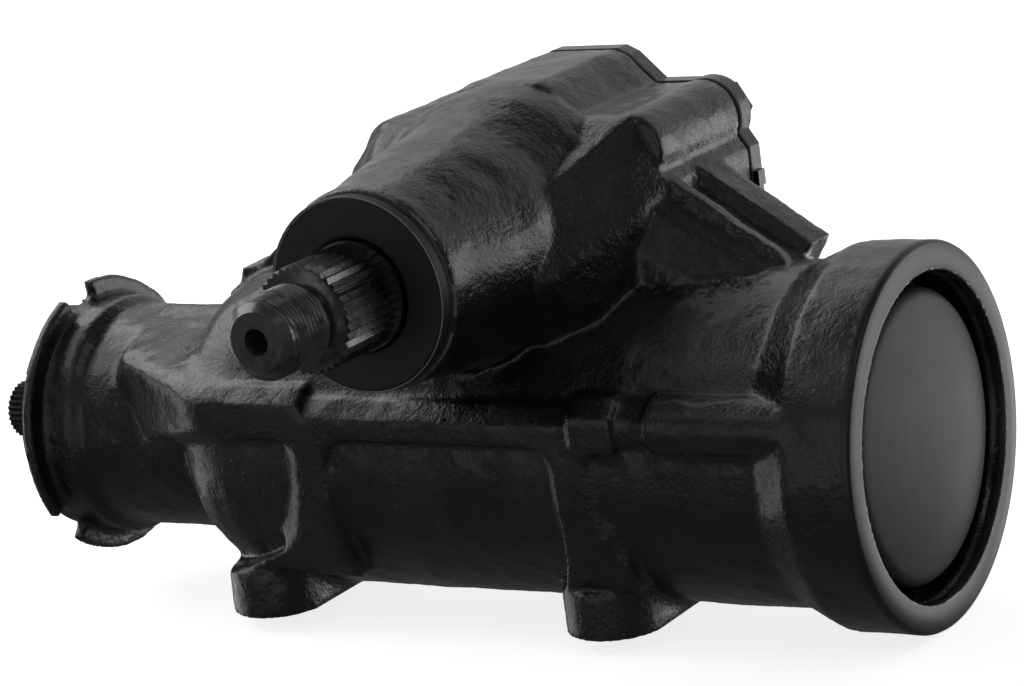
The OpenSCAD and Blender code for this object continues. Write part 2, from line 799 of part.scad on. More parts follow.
module adjuster_lock_nut() {
    outer = cover_plane + gasket_t + cover_t + cover_hub_h;
    color("#55575a") place() difference() {
        translate([0, outer, center_distance]) rotate([-90, 0, 0])
            cylinder(h = lock_nut_h, r = lock_nut_r, $fn = 6);
        rod_y(outer - overlap, outer + lock_nut_h + overlap, lash_r + seat_room);
    }
}

// Angle of involute at a radius, in degrees
function involute(r) = let (a = acos(base_r / r)) tan(a) * 180 / PI - a;
// Half the angle of a sector tooth at a radius
function half_tooth(r) = tooth_angle / 4 - backlash / 4 / sector_pitch_r * 180 / PI
    + involute(sector_pitch_r) - involute(r);

// One sector tooth, pointing down
module sector_tooth() {
    flank = [for (i = [0 : flank_steps]) base_r + (sector_tip_r - base_r) * i / flank_steps];
    edge = concat([[sector_root_r - 2, half_tooth(base_r) - root_relief]],
        [for (r = flank) [r, half_tooth(r)]]);
    last = len(edge) - 1;
    polygon(concat(
        [for (p = edge) p[0] * [sin(p[1]), -cos(p[1])]],
        [for (i = [last : -1 : 0]) edge[i][0] * [-sin(edge[i][1]), -cos(edge[i][1])]]
    ));
}

// Fine straight serrations of a spline
module serration(r, depth, teeth) {
    polygon([for (i = [0 : 2 * teeth - 1])
        let (a = 180 * i / teeth) (i % 2 == 0 ? r : r - depth) * [cos(a), sin(a)]]);
}

module pitman_shaft() {
    color("#5b5d60") place() difference() {
        union() {
            slab_y(-sector_w / 2, sector_w / 2) translate([0, center_distance]) {
                circle(r = sector_root_r);
                for (i = [-1 : 1]) rotate(i * tooth_angle) sector_tooth();
            }
            rod_y(sector_w / 2 - overlap, shaft_top, upper_journal_r);
            turn_y([
                [1 - sector_w / 2, 0], [1 - sector_w / 2, journal_r - run_room],
                [1.5 - bearing_end, journal_r - run_room],
                [0.5 - bearing_end, journal_r - 1], [-trunk_len + 3, journal_r - 1],
                [-trunk_len - 1, neck_r], [-spline_start, neck_r], [-spline_start, spline_core_r],
                [-spline_end, spline_core_r], [-spline_end - 1, thread_neck_r],
                [-spline_end - thread_neck, thread_neck_r], [-spline_end - thread_neck - 1, thread_r],
                [thread_chamfer - thread_end, thread_r], [-thread_end, thread_r - thread_chamfer],
                [-thread_end, 0]
            ]);
            translate([0, -spline_end, center_distance]) rotate([-90, 0, 0])
                linear_extrude(spline_end - spline_start + 0.5) serration(spline_r, spline_depth, spline_teeth);
        }
        translate([0, -thread_end, center_distance]) rotate([-90, 0, 0])
            cylinder(h = centre_drill_depth, r1 = centre_drill_r, r2 = centre_drill_r / 2);
        translate([-upper_journal_r - overlap, slot_floor, center_distance - lash_head_r - 0.2])
            cube([2 * upper_journal_r + 2 * overlap, lash_head_h + 0.4, 2 * lash_head_r + 0.4]);
        translate([-upper_journal_r - overlap, slot_floor, center_distance - lash_r - 0.3])
            cube([2 * upper_journal_r + 2 * overlap, shaft_top, 2 * lash_r + 0.6]);
    }
}

module pitman_bearings() {
    color("#8b8d90") place() for (i = [0, 1]) {
        y1 = -bearing_start - i * (bearing_len + bearing_gap);
        tube_y(y1 - bearing_len, y1, bearing_r, journal_r);
    }
}

module pitman_seals() {
    color("#141414") place() for (i = [0, 1]) {
        y1 = -bearing_end - washer_t - i * (seal_len + washer_t);
        tube_y(y1 - seal_len, y1, seal_bore_r - seat_room, journal_r - 1 + run_room);
    }
}

module seal_washers() {
    color("#77797c") place() for (i = [0, 1]) {
        y1 = -bearing_end - i * (seal_len + washer_t);
        tube_y(y1 - washer_t, y1, seal_bore_r - seat_room, journal_r + run_room);
    }
}

module seal_retaining_ring() {
    color("#3a3c3e") place() difference() {
        tube_y(-snap_y - snap_t, -snap_y, seal_bore_r + snap_groove - seat_room, seal_bore_r - 2.4);
        translate([-3, -snap_y - snap_t - overlap, center_distance])
            cube([6, snap_t + 2 * overlap, seal_bore_r + 4]);
    }
}

module dust_shield() {
    color("#141517") place() difference() {
        turn_y([
            [-trunk_len - shield_t, 0], [-trunk_len - shield_t, shield_r - 0.8],
            [-trunk_len - shield_t + 0.8, shield_r], [-trunk_len, shield_r],
            [-trunk_len, shield_skirt_r], [-trunk_len + shield_skirt, shield_skirt_r],
            [-trunk_len + shield_skirt, 0]
        ]);
        rod_y(-trunk_len - shield_t - overlap, 0, journal_r - 1 + run_room);
    }
}

// Straight-sided space between two rack teeth, in x and z
module rack_space(x) {
    half = tooth_pitch / 4 + backlash / 4;
    spread = tan(pressure_angle);
    low = rack_root - rack_line;
    high = bore_r - rack_line;
    polygon([
        [x - half - low * spread, rack_root], [x + half + low * spread, rack_root],
        [x + half + high * spread, bore_r], [x - half - high * spread, bore_r]
    ]);
}

module rack_piston() {
    color("#6a6c70") place() difference() {
        rod_x(-piston_end, piston_end, piston_r);
        translate([-rack_half, -bore_r, rack_top]) cube([2 * rack_half, 2 * bore_r, bore_r]);
        slab_y(-bore_r, bore_r) for (i = [-1 : 1]) rack_space(i * tooth_pitch);
        slab_y(-bore_r, bore_r) for (s = [-1, 1]) {
            rack_space(s * 2 * tooth_pitch);
            translate([s > 0 ? 2 * tooth_pitch : -rack_half, rack_root])
                square([rack_half - 2 * tooth_pitch, bore_r]);
        }
        rod_x(-piston_end - overlap, piston_end - plug_len, nut_r);
        rod_x(piston_end - plug_len, piston_end + overlap, plug_cavity_r + seat_room);
        ball_groove(circuit_x - circuit_half - groove_r, circuit_turns + 2 * groove_r / lead);
        tube_x(piston_end - 8 - ring_w, piston_end - 8, bore_r + overlap, bore_r - ring_depth);
        guide_pocket();
        for (s = [-1, 1]) translate([circuit_x + s * circuit_half, 0, -pocket_z - overlap])
            cylinder(h = pocket_z - guide_leg_top + 2 * overlap, r = guide_r + seat_room);
        for (s = [-1, 1]) translate([circuit_x + s * circuit_half, 0, -guide_leg_top - overlap])
            cylinder(h = guide_leg_top - ball_circle_r + overlap, r = guide_bore_r);
        at_clamp_screws() cylinder(h = clamp_screw_len + 0.5, r = clamp_screw_r + seat_room);
    }
}

// Flat-floored recess in the piston for the ball return guide
module guide_pocket() {
    x0 = circuit_x - circuit_half - pocket_margin;
    translate([x0, -pocket_half_w, -bore_r - overlap])
        cube([2 * (circuit_half + pocket_margin), 2 * pocket_half_w, bore_r + overlap - pocket_z]);
}

// The two clamp screws, starting under the clamp
module at_clamp_screws() {
    for (s = [-1, 1]) translate([circuit_x, s * clamp_screw_dy, -guide_z - guide_r - clamp_t]) children();
}

module piston_ring() {
    x0 = piston_end - 8 - ring_w;
    color("#1d1d1d") place()
        tube_x(x0 + seat_room, x0 + ring_w - seat_room, piston_r, bore_r - ring_depth + seat_room);
}

module piston_plug() {
    color("#606266") place() difference() {
        rod_x(piston_end - plug_len, piston_end, plug_cavity_r);
        rod_x(piston_end - plug_len - overlap, piston_end - plug_wall - 3, plug_cavity_r - 6);
        translate([piston_end - 3, -5, -5]) cube([4, 10, 10]);
    }
}

module ball_train() {
    length = circuit_turns * sqrt(pow(2 * PI * ball_circle_r, 2) + lead * lead);
    count = floor(length / ball_step);
    run = 2 * circuit_half - 2 * guide_r - 2;
    run_count = floor(run / ball_step);
    color("#c9ccd0") place() {
        for (i = [1 : count - 1]) let (t = circuit_turns * i / count, a = 360 * t)
            translate([circuit_x - circuit_half + t * lead, ball_circle_r * sin(a), -ball_circle_r * cos(a)])
                sphere(r = ball_r);
        for (i = [0 : run_count - 1])
            translate([circuit_x + (i - (run_count - 1) / 2) * ball_step, 0, -guide_z]) sphere(r = ball_r);
    }
}

// Solid form of the ball return guide at a given tube radius
module guide_form(r, leg) {
    for (s = [0, 1]) translate([circuit_x, 0, 0]) mirror([s, 0, 0]) {
        translate([circuit_half, 0, guide_bend - guide_z])
            cylinder(h = guide_z - guide_bend - guide_leg_top + leg, r = r);
        translate([circuit_half - guide_bend, 0, guide_bend - guide_z]) rotate([90, 0, 0])
            rotate([0, 0, -90]) rotate_extrude(angle = 90) translate([guide_bend, 0]) circle(r = r);
        translate([0, 0, -guide_z]) rod_x(0, circuit_half - guide_bend, r);
    }
}

module ball_return_guide() {
    color("#8d8f92") place() difference() {
        guide_form(guide_r, 0);
        guide_form(guide_bore_r, overlap);
    }
}

module guide_clamp() {
    top = guide_z + guide_r;
    color("#77797c") place() difference() {
        translate([circuit_x - clamp_w / 2, -pocket_half_w + 0.3, -top - clamp_t])
            cube([clamp_w, 2 * pocket_half_w - 0.6, top - pocket_z + clamp_t]);
        translate([circuit_x - clamp_w / 2 - overlap, -guide_r - 0.1, -top])
            cube([clamp_w + 2 * overlap, 2 * guide_r + 0.2, top]);
        at_clamp_screws() translate([0, 0, -overlap])
            cylinder(h = clamp_screw_len + overlap, r = clamp_screw_r + seat_room);
    }
}

module guide_screws() {
    color("#4d4f52") place() at_clamp_screws() {
        cylinder(h = clamp_screw_len, r = clamp_screw_r);
        translate([0, 0, -1.6]) cylinder(h = 1.6, r = clamp_screw_r + 1.2);
    }
}

module worm_shaft() {
    end = circuit_x + groove_half + 0.5;
    color("#7a7c80") place() difference() {
        union() {
            rod_x(circuit_x - groove_half - 6, end, worm_r);
            turn_x([
                [valve_x1, 0], [valve_x1, worm_head_r], [worm_head_x, worm_head_r],
                [worm_head_x, worm_tail_r], [web_right + 1, worm_tail_r],
                [web_right + 5, worm_r], [circuit_x - groove_half - 5, worm_r],
                [circuit_x - groove_half - 5, 0]
            ]);
        }
        ball_groove(circuit_x - groove_half, circuit_turns + 2 * worm_extra_turns);
        rod_x(valve_x1 - overlap, web_right + bar_reach, bar_end_r + run_room);
    }
}

module torsion_bar() {
    x0 = stub_end + 10;
    x1 = web_right + bar_reach - 0.5;
    color("#66686b") place() turn_x([
        [x0, 0], [x0, bar_end_r - run_room], [x0 + bar_end_len, bar_end_r - run_room],
        [x0 + bar_end_len + 4, torsion_r], [x1 - bar_end_len - 4, torsion_r],
        [x1 - bar_end_len, bar_end_r], [x1, bar_end_r], [x1, 0]
    ]);
}

// Middle of each valve ring along the bore
function ring_x(i) = valve_x0 + valve_len * (i + 1) / 4;

module valve_body() {
    color("#86888c") place() difference() {
        tube_x(valve_x0, valve_x1, valve_body_r - 0.3, spool_r + run_room);
        for (i = [0 : 2])
            tube_x(ring_x(i) - valve_ring_w / 2, ring_x(i) + valve_ring_w / 2,
                valve_bore_r + overlap, valve_body_r - valve_ring_depth);
        for (i = [0, 1], a = [0 : 90 : 270]) rotate([a, 0, 0])
            translate([(ring_x(i) + ring_x(i + 1)) / 2, 0, 0]) cylinder(h = valve_bore_r + overlap, r = 1.8);
        translate([spool_pin_x, 0, 0]) cylinder(h = valve_bore_r + overlap, r = spool_pin_r + 1.2);
    }
}

module valve_rings() {
    color("#22241f") place() for (i = [0 : 2])
        tube_x(ring_x(i) - valve_ring_w / 2 + seat_room, ring_x(i) + valve_ring_w / 2 - seat_room,
            valve_body_r, valve_body_r - valve_ring_depth + seat_room);
}

module stub_shaft() {
    color("#5e6063") place() difference() {
        union() {
            rod_x(stub_end + stub_spline_len, stub_shoulder_x + overlap, stub_r);
            rod_x(stub_shoulder_x, stub_inner, stub_journal_r);
            turn_x([
                [stub_end, 0], [stub_end, stub_core_r - 1.5], [stub_end + 1.5, stub_core_r],
                [stub_end + stub_spline_len + overlap, stub_core_r], [stub_end + stub_spline_len + overlap, 0]
            ]);
            translate([stub_end + 1.5, 0, 0]) rotate([0, 90, 0])
                linear_extrude(stub_spline_len - 0.5) serration(stub_crest_r, spline_cut, stub_spline_teeth);
        }
        rod_x(stub_end + 9, stub_inner + overlap, bar_end_r + run_room);
        translate([spool_pin_x, 0, 0]) cylinder(h = stub_journal_r + overlap, r = spool_pin_r + seat_room);
    }
}

module valve_spool() {
    color("#7d8084") place() difference() {
        tube_x(valve_x0 + 0.5, valve_x1 - 0.5, spool_r, stub_journal_r + seat_room);
        for (i = [0 : spool_slots - 1]) rotate([(i + 0.5) * 360 / spool_slots, 0, 0])
            translate([valve_x0 + 8, -2, spool_r - 1.8]) cube([valve_len - 14, 4, 4]);
        translate([spool_pin_x, 0, 0]) cylinder(h = spool_r + overlap, r = spool_pin_r + seat_room);
    }
}

module spool_pin() {
    color("#9a9ca0") place() translate([spool_pin_x, 0, bar_end_r + 0.3])
        cylinder(h = spool_r - bar_end_r - 0.8, r = spool_pin_r);
}

// Cage of needle rollers between two thrust races
module roller_cage(x0, r_out, r_in) {
    tube_x(x0, x0 + roller_t, r_out, r_in);
}

module lower_thrust_bearing() {
    color("#9a9ca0") place() roller_cage(worm_head_x + race_t, valve_bore_r - 1, worm_tail_r + 0.4);
}

module lower_thrust_races() {
    color("#85878a") place() for (x = [worm_head_x + seat_room, worm_head_x + race_t + roller_t])
        tube_x(x, x + race_t - seat_room, valve_bore_r - 0.3, worm_tail_r + 0.3);
}

module upper_thrust_bearing() {
    color("#9a9ca0") place() roller_cage(plug_inner + race_t, valve_bore_r - 1, stub_journal_r + 2.5);
}

module upper_thrust_races() {
    color("#85878a") place() for (x = [plug_inner, plug_inner + race_t + roller_t])
        tube_x(x, x + race_t - seat_room, valve_bore_r - 0.3, stub_journal_r + 2);
}

module adjuster_plug() {
    bearing_x = plug_inner - stub_bearing_len - 1;
    color("#2c2e31") place() difference() {
        rod_x(plug_outer, plug_inner, adjuster_r);
        rod_x(plug_outer - overlap, plug_inner + overlap, stub_journal_r + 0.6);
        rod_x(bearing_x, plug_inner + overlap, stub_journal_r + stub_bearing_wall + seat_room);
        rod_x(plug_outer - overlap, plug_outer + stub_seal_t + dust_seal_t + stub_ring_t + 1,
            stub_seal_r + seat_room);
        tube_x(plug_outer + 1 - seat_room, plug_outer + 1 + stub_ring_t + seat_room,
            stub_seal_r + 1.5, stub_seal_r - overlap);
        tube_x(thread_bore_x - 6, thread_bore_x - 6 + 2 * o_ring_r, adjuster_r + overlap, adjuster_r - 2 * o_ring_r);
        for (a = [45 : 90 : 315]) rotate([a, 0, 0])
            translate([plug_outer - overlap, 0, (adjuster_r + stub_seal_r) / 2])
                rotate([0, 90, 0]) cylinder(h = 5 + overlap, r = 3);
    }
}

module adjuster_plug_nut() {
    color("#2c2e31") place() difference() {
        tube_x(-input_face - nut_t, -input_face, nut_r_out, adjuster_r + seat_room);
        for (a = [0 : 60 : 300]) rotate([a, 0, 0])
            translate([-input_face - nut_t - overlap, -3, nut_r_out - 3]) cube([nut_t + 2 * overlap, 6, 6]);
    }
}

module adjuster_plug_seal() {
    color("#101010") place()
        wire_x(thread_bore_x - 6 + o_ring_r, adjuster_r - o_ring_r, o_ring_r - seat_room);
}

module stub_bearing() {
    x1 = plug_inner - 1;
    color("#8b8d90") place() 
        tube_x(x1 - stub_bearing_len + seat_room, x1, stub_journal_r + stub_bearing_wall, stub_journal_r + run_room);
}

module stub_seal() {
    x0 = plug_outer + 1 + stub_ring_t + dust_seal_t;
    color("#141414") place() tube_x(x0 + seat_room, x0 + stub_seal_t, stub_seal_r, stub_journal_r + run_room);
}

module stub_dust_seal() {
    x0 = plug_outer + 1 + stub_ring_t;
    color("#1b1b1b") place() tube_x(x0 + seat_room, x0 + dust_seal_t, stub_seal_r, stub_journal_r + run_room);
}

module stub_retaining_ring() {
    x0 = plug_outer + 1;
    color("#3a3c3e") place() difference() {
        tube_x(x0, x0 + stub_ring_t, stub_seal_r + 1.5 - seat_room, stub_seal_r - 2.5);
        translate([x0 - overlap, -3, 0]) cube([stub_ring_t + 2 * overlap, 6, stub_seal_r + 4]);
    }
}

module port_seats() {
    cone = port_seat_h / 2;
    color("#b59a55") place() at_ports() translate([0, 0, -port_depth - port_seat_h]) difference() {
        union() {
            cylinder(h = cone, r = port_seat_r);
            translate([0, 0, cone]) cylinder(h = cone - 0.3, r1 = port_seat_r, r2 = port_drill_r - 0.5);
        }
        translate([0, 0, -overlap]) cylinder(h = port_seat_h + 2 * overlap, r = port_drill_r - 1.5);
    }
}

gear_housing();
end_plug();
end_plug_ring();
end_plug_seal();
side_cover();
side_cover_gasket();
side_cover_bolts();
side_cover_bush();
lash_adjuster();
adjuster_lock_nut();
pitman_shaft();
pitman_bearings();
pitman_seals();
seal_washers();
seal_retaining_ring();
dust_shield();
rack_piston();
piston_ring();
piston_plug();
ball_train();
ball_return_guide();
guide_clamp();
guide_screws();
worm_shaft();
torsion_bar();
valve_body();
valve_rings();
stub_shaft();
valve_spool();
spool_pin();
lower_thrust_bearing();
lower_thrust_races();
upper_thrust_bearing();
upper_thrust_races();
adjuster_plug();
adjuster_plug_nut();
adjuster_plug_seal();
stub_bearing();
stub_seal();
stub_dust_seal();
stub_retaining_ring();
port_seats();
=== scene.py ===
"""Looks of the steering gearbox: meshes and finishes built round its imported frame, in metres."""

import json
import logging
import math
from dataclasses import dataclass
from enum import Enum
from typing import Any, Protocol

import bpy
import numpy as np
from mathutils import Matrix, Quaternion, Vector


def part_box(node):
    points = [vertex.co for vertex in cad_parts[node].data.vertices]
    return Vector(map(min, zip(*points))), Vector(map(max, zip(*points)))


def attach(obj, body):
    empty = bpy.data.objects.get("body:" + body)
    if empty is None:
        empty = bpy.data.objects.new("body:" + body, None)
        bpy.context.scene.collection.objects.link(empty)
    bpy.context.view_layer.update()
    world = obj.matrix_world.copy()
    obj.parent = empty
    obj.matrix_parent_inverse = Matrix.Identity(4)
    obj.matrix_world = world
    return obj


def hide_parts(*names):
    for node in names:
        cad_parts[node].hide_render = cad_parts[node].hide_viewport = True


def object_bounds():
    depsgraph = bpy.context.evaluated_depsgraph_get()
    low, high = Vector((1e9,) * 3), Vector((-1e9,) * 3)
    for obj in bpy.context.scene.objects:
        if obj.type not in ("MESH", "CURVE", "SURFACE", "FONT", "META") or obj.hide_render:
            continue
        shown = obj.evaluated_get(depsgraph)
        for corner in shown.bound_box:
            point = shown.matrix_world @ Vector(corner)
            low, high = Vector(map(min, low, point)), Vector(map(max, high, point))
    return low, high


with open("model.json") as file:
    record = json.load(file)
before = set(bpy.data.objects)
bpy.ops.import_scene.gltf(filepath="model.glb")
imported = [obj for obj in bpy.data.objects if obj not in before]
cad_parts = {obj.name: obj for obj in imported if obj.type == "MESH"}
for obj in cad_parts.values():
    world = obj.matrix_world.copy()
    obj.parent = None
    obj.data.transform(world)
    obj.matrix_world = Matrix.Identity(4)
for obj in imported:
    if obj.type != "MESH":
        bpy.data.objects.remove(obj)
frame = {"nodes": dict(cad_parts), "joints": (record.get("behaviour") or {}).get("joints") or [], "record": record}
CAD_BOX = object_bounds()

LOG = logging.getLogger("gearbox")
MM = 0.001
Colour = tuple[float, float, float]
Triple = tuple[float, float, float]
Point = tuple[float, float]
Value = Any


class Body(Enum):
    """Bodies of the frame that pieces ride on."""

    HOUSING = "housing"
    PITMAN = "pitman"


class Slot(Enum):
    """Material slots of the record."""

    CASTING = "black_casting"
    GREY_STEEL = "grey_steel"
    FASTENER = "painted_fastener"
    OILED_STEEL = "oiled_steel"
    SPRING_STEEL = "spring_steel"
    BEARING_STEEL = "bearing_steel"
    MACHINED_IRON = "machined_iron"
    BRONZE = "bronze"
    SEAL_RUBBER = "seal_rubber"
    SHIELD_RUBBER = "shield_rubber"
    RING_PLASTIC = "ring_plastic"
    GASKET = "gasket"


class Along(Enum):
    """Row axes that a turned form can lie along."""

    X = 0
    Y = 1
    Z = 2

    def turn(self) -> Matrix:
        """Works out how a form made along the Z axis is laid along this one.

        Returns:
            The rotation.
        """
        return {
            Along.X: Matrix.Rotation(math.radians(90), 4, "Y"),
            Along.Y: Matrix.Rotation(math.radians(-90), 4, "X"),
            Along.Z: Matrix.Identity(4),
        }[self]


class Signal:
    """A shader socket that Python's own operators work on."""

    def __init__(self, tree: "ShaderTree", socket: bpy.types.NodeSocket) -> None:
        """Wraps one output socket of a tree."""
        self.tree = tree
        self.socket = socket

    def maths(self, operation: str, *values: Value) -> "Signal":
        """Adds a Math node.

        Args:
            operation: the Math node's operation.
            values: numbers or signals for its inputs, in order.

        Returns:
            The node's result.
        """
        node = self.tree.add("ShaderNodeMath", {"operation": operation}, dict(enumerate(values)))
        return Signal(self.tree, node.outputs[0])

    def __add__(self, other: Value) -> "Signal":
        """Sum with a number or a signal."""
        return self.maths("ADD", self, other)

    def __sub__(self, other: Value) -> "Signal":
        """Difference with a number or a signal."""
        return self.maths("SUBTRACT", self, other)

    def __rsub__(self, other: Value) -> "Signal":
        """Difference from a number."""
        return self.maths("SUBTRACT", other, self)

    def __mul__(self, other: Value) -> "Signal":
        """Product with a number or a signal."""
        return self.maths("MULTIPLY", self, other)

    __radd__ = __add__
    __rmul__ = __mul__

    def __pow__(self, other: Value) -> "Signal":
        """Power of a number or a signal."""
        return self.maths("POWER", self, other)

    def hypot(self, other: "Signal") -> "Signal":
        """Length of the vector that two signals make."""
        return (self * self + other * other) ** 0.5

    def ramp(self, low: float, high: float) -> "Signal":
        """Smooth step from 0 at low to 1 at high.

        Args:
            low: where the step starts.
            high: where the step ends, which may be under low.

        Returns:
            The step, from 0 to 1.
        """
        settings = {"interpolation_type": "SMOOTHSTEP"}
        sockets = {"Value": self, "From Min": low, "From Max": high}
        return Signal(self.tree, self.tree.add("ShaderNodeMapRange", settings, sockets).outputs["Result"])


class ShaderTree:
    """Node tree of one material."""

    def __init__(self, name: str) -> None:
        """Starts an empty material."""
        self.material = bpy.data.materials.new(name)
        self.material.use_nodes = True
        self.nodes = self.material.node_tree.nodes
        self.links = self.material.node_tree.links
        self.nodes.clear()
        self.coords = self.add("ShaderNodeTexCoord", {}, {}).outputs["Object"]

    def add(self, kind: str, settings: dict[str, Value], sockets: dict[str | int, Value]) -> bpy.types.Node:
        """Adds a node.

        Args:
            kind: the node's type.
            settings: its properties, set first.
            sockets: numbers, colours or links for its inputs, by name or place.

        Returns:
            The new node.
        """
        node = self.nodes.new(kind)
        for key, value in settings.items():
            setattr(node, key, value)
        for key, value in sockets.items():
            if isinstance(value, Signal):
                value = value.socket
            if isinstance(value, bpy.types.NodeSocket):
                self.links.new(value, node.inputs[key])
            else:
                node.inputs[key].default_value = value
        return node

    def noise(self, size: float, detail: float = 3.0, stretch: Triple = (1, 1, 1)) -> Signal:
        """Cloudy noise.

        Args:
            size: about the size of its patches, in metres.
            detail: how many finer layers it has.
            stretch: how much denser it is along each row axis.

        Returns:
            The noise, from 0 to 1.
        """
        place = self.add("ShaderNodeMapping", {}, {"Vector": self.coords, "Scale": stretch}).outputs[0]
        sockets = {"Vector": place, "Scale": 1 / size, "Detail": detail, "Roughness": 0.6}
        return Signal(self, self.add("ShaderNodeTexNoise", {}, sockets).outputs[0])

    def pits(self, size: float) -> Signal:
        """Round cells.

        Args:
            size: spacing of the cells, in metres.

        Returns:
            Distance from the nearest cell's middle, from 0 to about 1.
        """
        node = self.add("ShaderNodeTexVoronoi", {}, {"Vector": self.coords, "Scale": 1 / size})
        return Signal(self, node.outputs["Distance"])

    def place(self, axis: Along, zero: float = 0.0) -> Signal:
        """Place along a row axis, in metres, measured from zero."""
        node = self.add("ShaderNodeSeparateXYZ", {}, {0: self.coords})
        return Signal(self, node.outputs[axis.value]) - zero

    def mix(self, share: Signal, first: Colour, second: Value) -> Signal:
        """Mixes two colours.

        Args:
            share: how much of the second colour shows.
            first: the first colour.
            second: the second colour, or a signal that holds one.

        Returns:
            The mixed colour.
        """
        colours = {0: share, 6: (*first, 1), 7: second if isinstance(second, Signal) else (*second, 1)}
        return Signal(self, self.add("ShaderNodeMix", {"data_type": "RGBA"}, colours).outputs[2])

    def surface(self, sockets: dict[str, Value], height: Signal, depth: float) -> bpy.types.Material:
        """Closes the tree with a surface shader.

        Args:
            sockets: numbers, colours or signals for the shader.
            height: relief, from 0 to 1.
            depth: depth of the relief in metres.

        Returns:
            The finished material.
        """
        bump = self.add("ShaderNodeBump", {}, {"Height": height, "Distance": depth, "Strength": 1.0})
        shader = self.add("ShaderNodeBsdfPrincipled", {}, {**sockets, "Normal": bump.outputs[0]})
        self.add("ShaderNodeOutputMaterial", {}, {"Surface": shader.outputs[0]})
        return self.material


class Finish(Protocol):
    """Anything that can make a material."""

    name: str

    def material(self) -> bpy.types.Material:
        """Makes the material."""


@dataclass(frozen=True)
class CastPaint:
    """Glossy black paint over a rough sand casting, smoother on machined faces.

    Fields:
        name: the material's name.
        colour: colour of the paint.
        dust: colour of the thin dust in its hollows.
        gloss: roughness of the paint.
        grain: size of the casting's grain, in metres.
        lump: size of its lumps, in metres.
        patch: size of the dusty patches, in metres.
        pore: spacing of its pores, in metres.
        relief: height of its relief, in metres.
        smooth_from: x beyond which the end face is machined, in metres.
        rim: middle of the round rim whose edge gets a painted highlight, in metres.
        rim_radius: radius of that edge, in metres.
        highlight_colour: colour of the painted highlight along that edge.
    """

    name: str
    colour: Colour = (0.0050, 0.0051, 0.0054)
    dust: Colour = (0.010, 0.010, 0.0105)
    gloss: float = 0.20
    grain: float = 1.5 * MM
    lump: float = 9 * MM
    patch: float = 28 * MM
    pore: float = 4.5 * MM
    relief: float = 0.55 * MM
    smooth_from: float = 1.0
    rim: Triple = (0.0, 0.0, 0.0)
    rim_radius: float = 0.0
    highlight_colour: Colour = (0.16, 0.16, 0.162)

    def material(self) -> bpy.types.Material:
        """Makes the material.

        Returns:
            The finished material.
        """
        tree = ShaderTree(self.name)
        grain = tree.noise(self.grain, 3)
        lumps = tree.noise(self.lump, 3)
        patches = tree.noise(self.patch, 4)
        pores = tree.pits(self.pore).ramp(0.16, 0.0) * tree.noise(14 * MM, 2).ramp(0.5, 0.62)
        rough = 1 - tree.place(Along.X, self.smooth_from).ramp(-0.4 * MM, 0.0) * 0.85
        sand = tree.noise(self.grain * 0.45, 2)
        edge = tree.place(Along.X, self.rim[0]).hypot(tree.place(Along.Z, self.rim[2])) - self.rim_radius
        # Painted highlight: a thin pale line along the trunk's rim edge, broken up by the lumps.
        rim_highlight = edge.ramp(-0.9 * MM, -0.3 * MM) * edge.ramp(0.5 * MM, 0.2 * MM) * lumps.ramp(0.40, 0.5)
        rim_highlight = rim_highlight * tree.place(Along.Y, self.rim[1]).ramp(1.5 * MM, 0.5 * MM)
        paint = tree.mix(patches.ramp(0.45, 0.75), self.colour, self.dust)
        relief = (sand * 0.22 + grain * 0.55 + lumps * 0.8 - pores * 0.5) * rough
        return tree.surface(
            {
                "Base Color": tree.mix(1 - rim_highlight, self.highlight_colour, paint),
                "Roughness": self.gloss + 0.14 * patches.ramp(0.35, 0.7) + 0.1 * grain,
                "Specular IOR Level": 0.5,
                "Coat Weight": 0.25,
                "Coat Roughness": 0.12,
            },
            relief,
            self.relief,
        )


@dataclass(frozen=True)
class SatinPaint:
    """Satin paint on a smooth pressing or a fastener, with faint mottling and specks.

    Fields:
        name: the material's name.
        colour: colour of the paint.
        wear: colour where the paint has worn.
        gloss: roughness of the paint.
    """

    name: str
    colour: Colour
    wear: Colour
    gloss: float

    def material(self) -> bpy.types.Material:
        """Makes the material.

        Returns:
            The finished material.
        """
        tree = ShaderTree(self.name)
        mottle = tree.noise(16 * MM, 5)
        fine = tree.noise(0.7 * MM, 2)
        specks = tree.pits(5 * MM).ramp(0.07, 0.02) * tree.noise(20 * MM, 2).ramp(0.52, 0.6)
        return tree.surface(
            {
                "Base Color": tree.mix(mottle.ramp(0.3, 0.75) * 0.7 + specks * 0.3, self.colour, self.wear),
                "Roughness": self.gloss + 0.1 * mottle + 0.05 * fine,
                "Specular IOR Level": 0.5,
            },
            fine * 0.25 + mottle * 0.3 - specks * 0.5,
            0.12 * MM,
        )


@dataclass(frozen=True)
class Steel:
    """Bare metal with fine tool marks and a film of oil.

    Fields:
        name: the material's name.
        colour: colour of the bright metal.
        oil: colour where oil and dirt lie on it.
        gloss: roughness of the bright metal.
        oiled: share of the surface under oil, from 0 to 1.
        turned: axis that the tool marks run round.
    """

    name: str
    colour: Colour
    oil: Colour
    gloss: float = 0.26
    oiled: float = 0.5
    turned: Along = Along.X

    def material(self) -> bpy.types.Material:
        """Makes the material.

        Returns:
            The finished material.
        """
        tree = ShaderTree(self.name)
        stretch = [1.0, 1.0, 1.0]
        stretch[self.turned.value] = 12.0
        marks = tree.noise(3 * MM, 3, tuple(stretch))
        film = tree.noise(7 * MM, 4).ramp(0.72 - self.oiled * 0.5, 0.86 - self.oiled * 0.5)
        return tree.surface(
            {
                "Base Color": tree.mix(film, self.colour, self.oil),
                "Metallic": 1 - 0.35 * film,
                "Roughness": self.gloss + 0.12 * marks + 0.1 * film,
            },
            marks,
            0.05 * MM,
        )


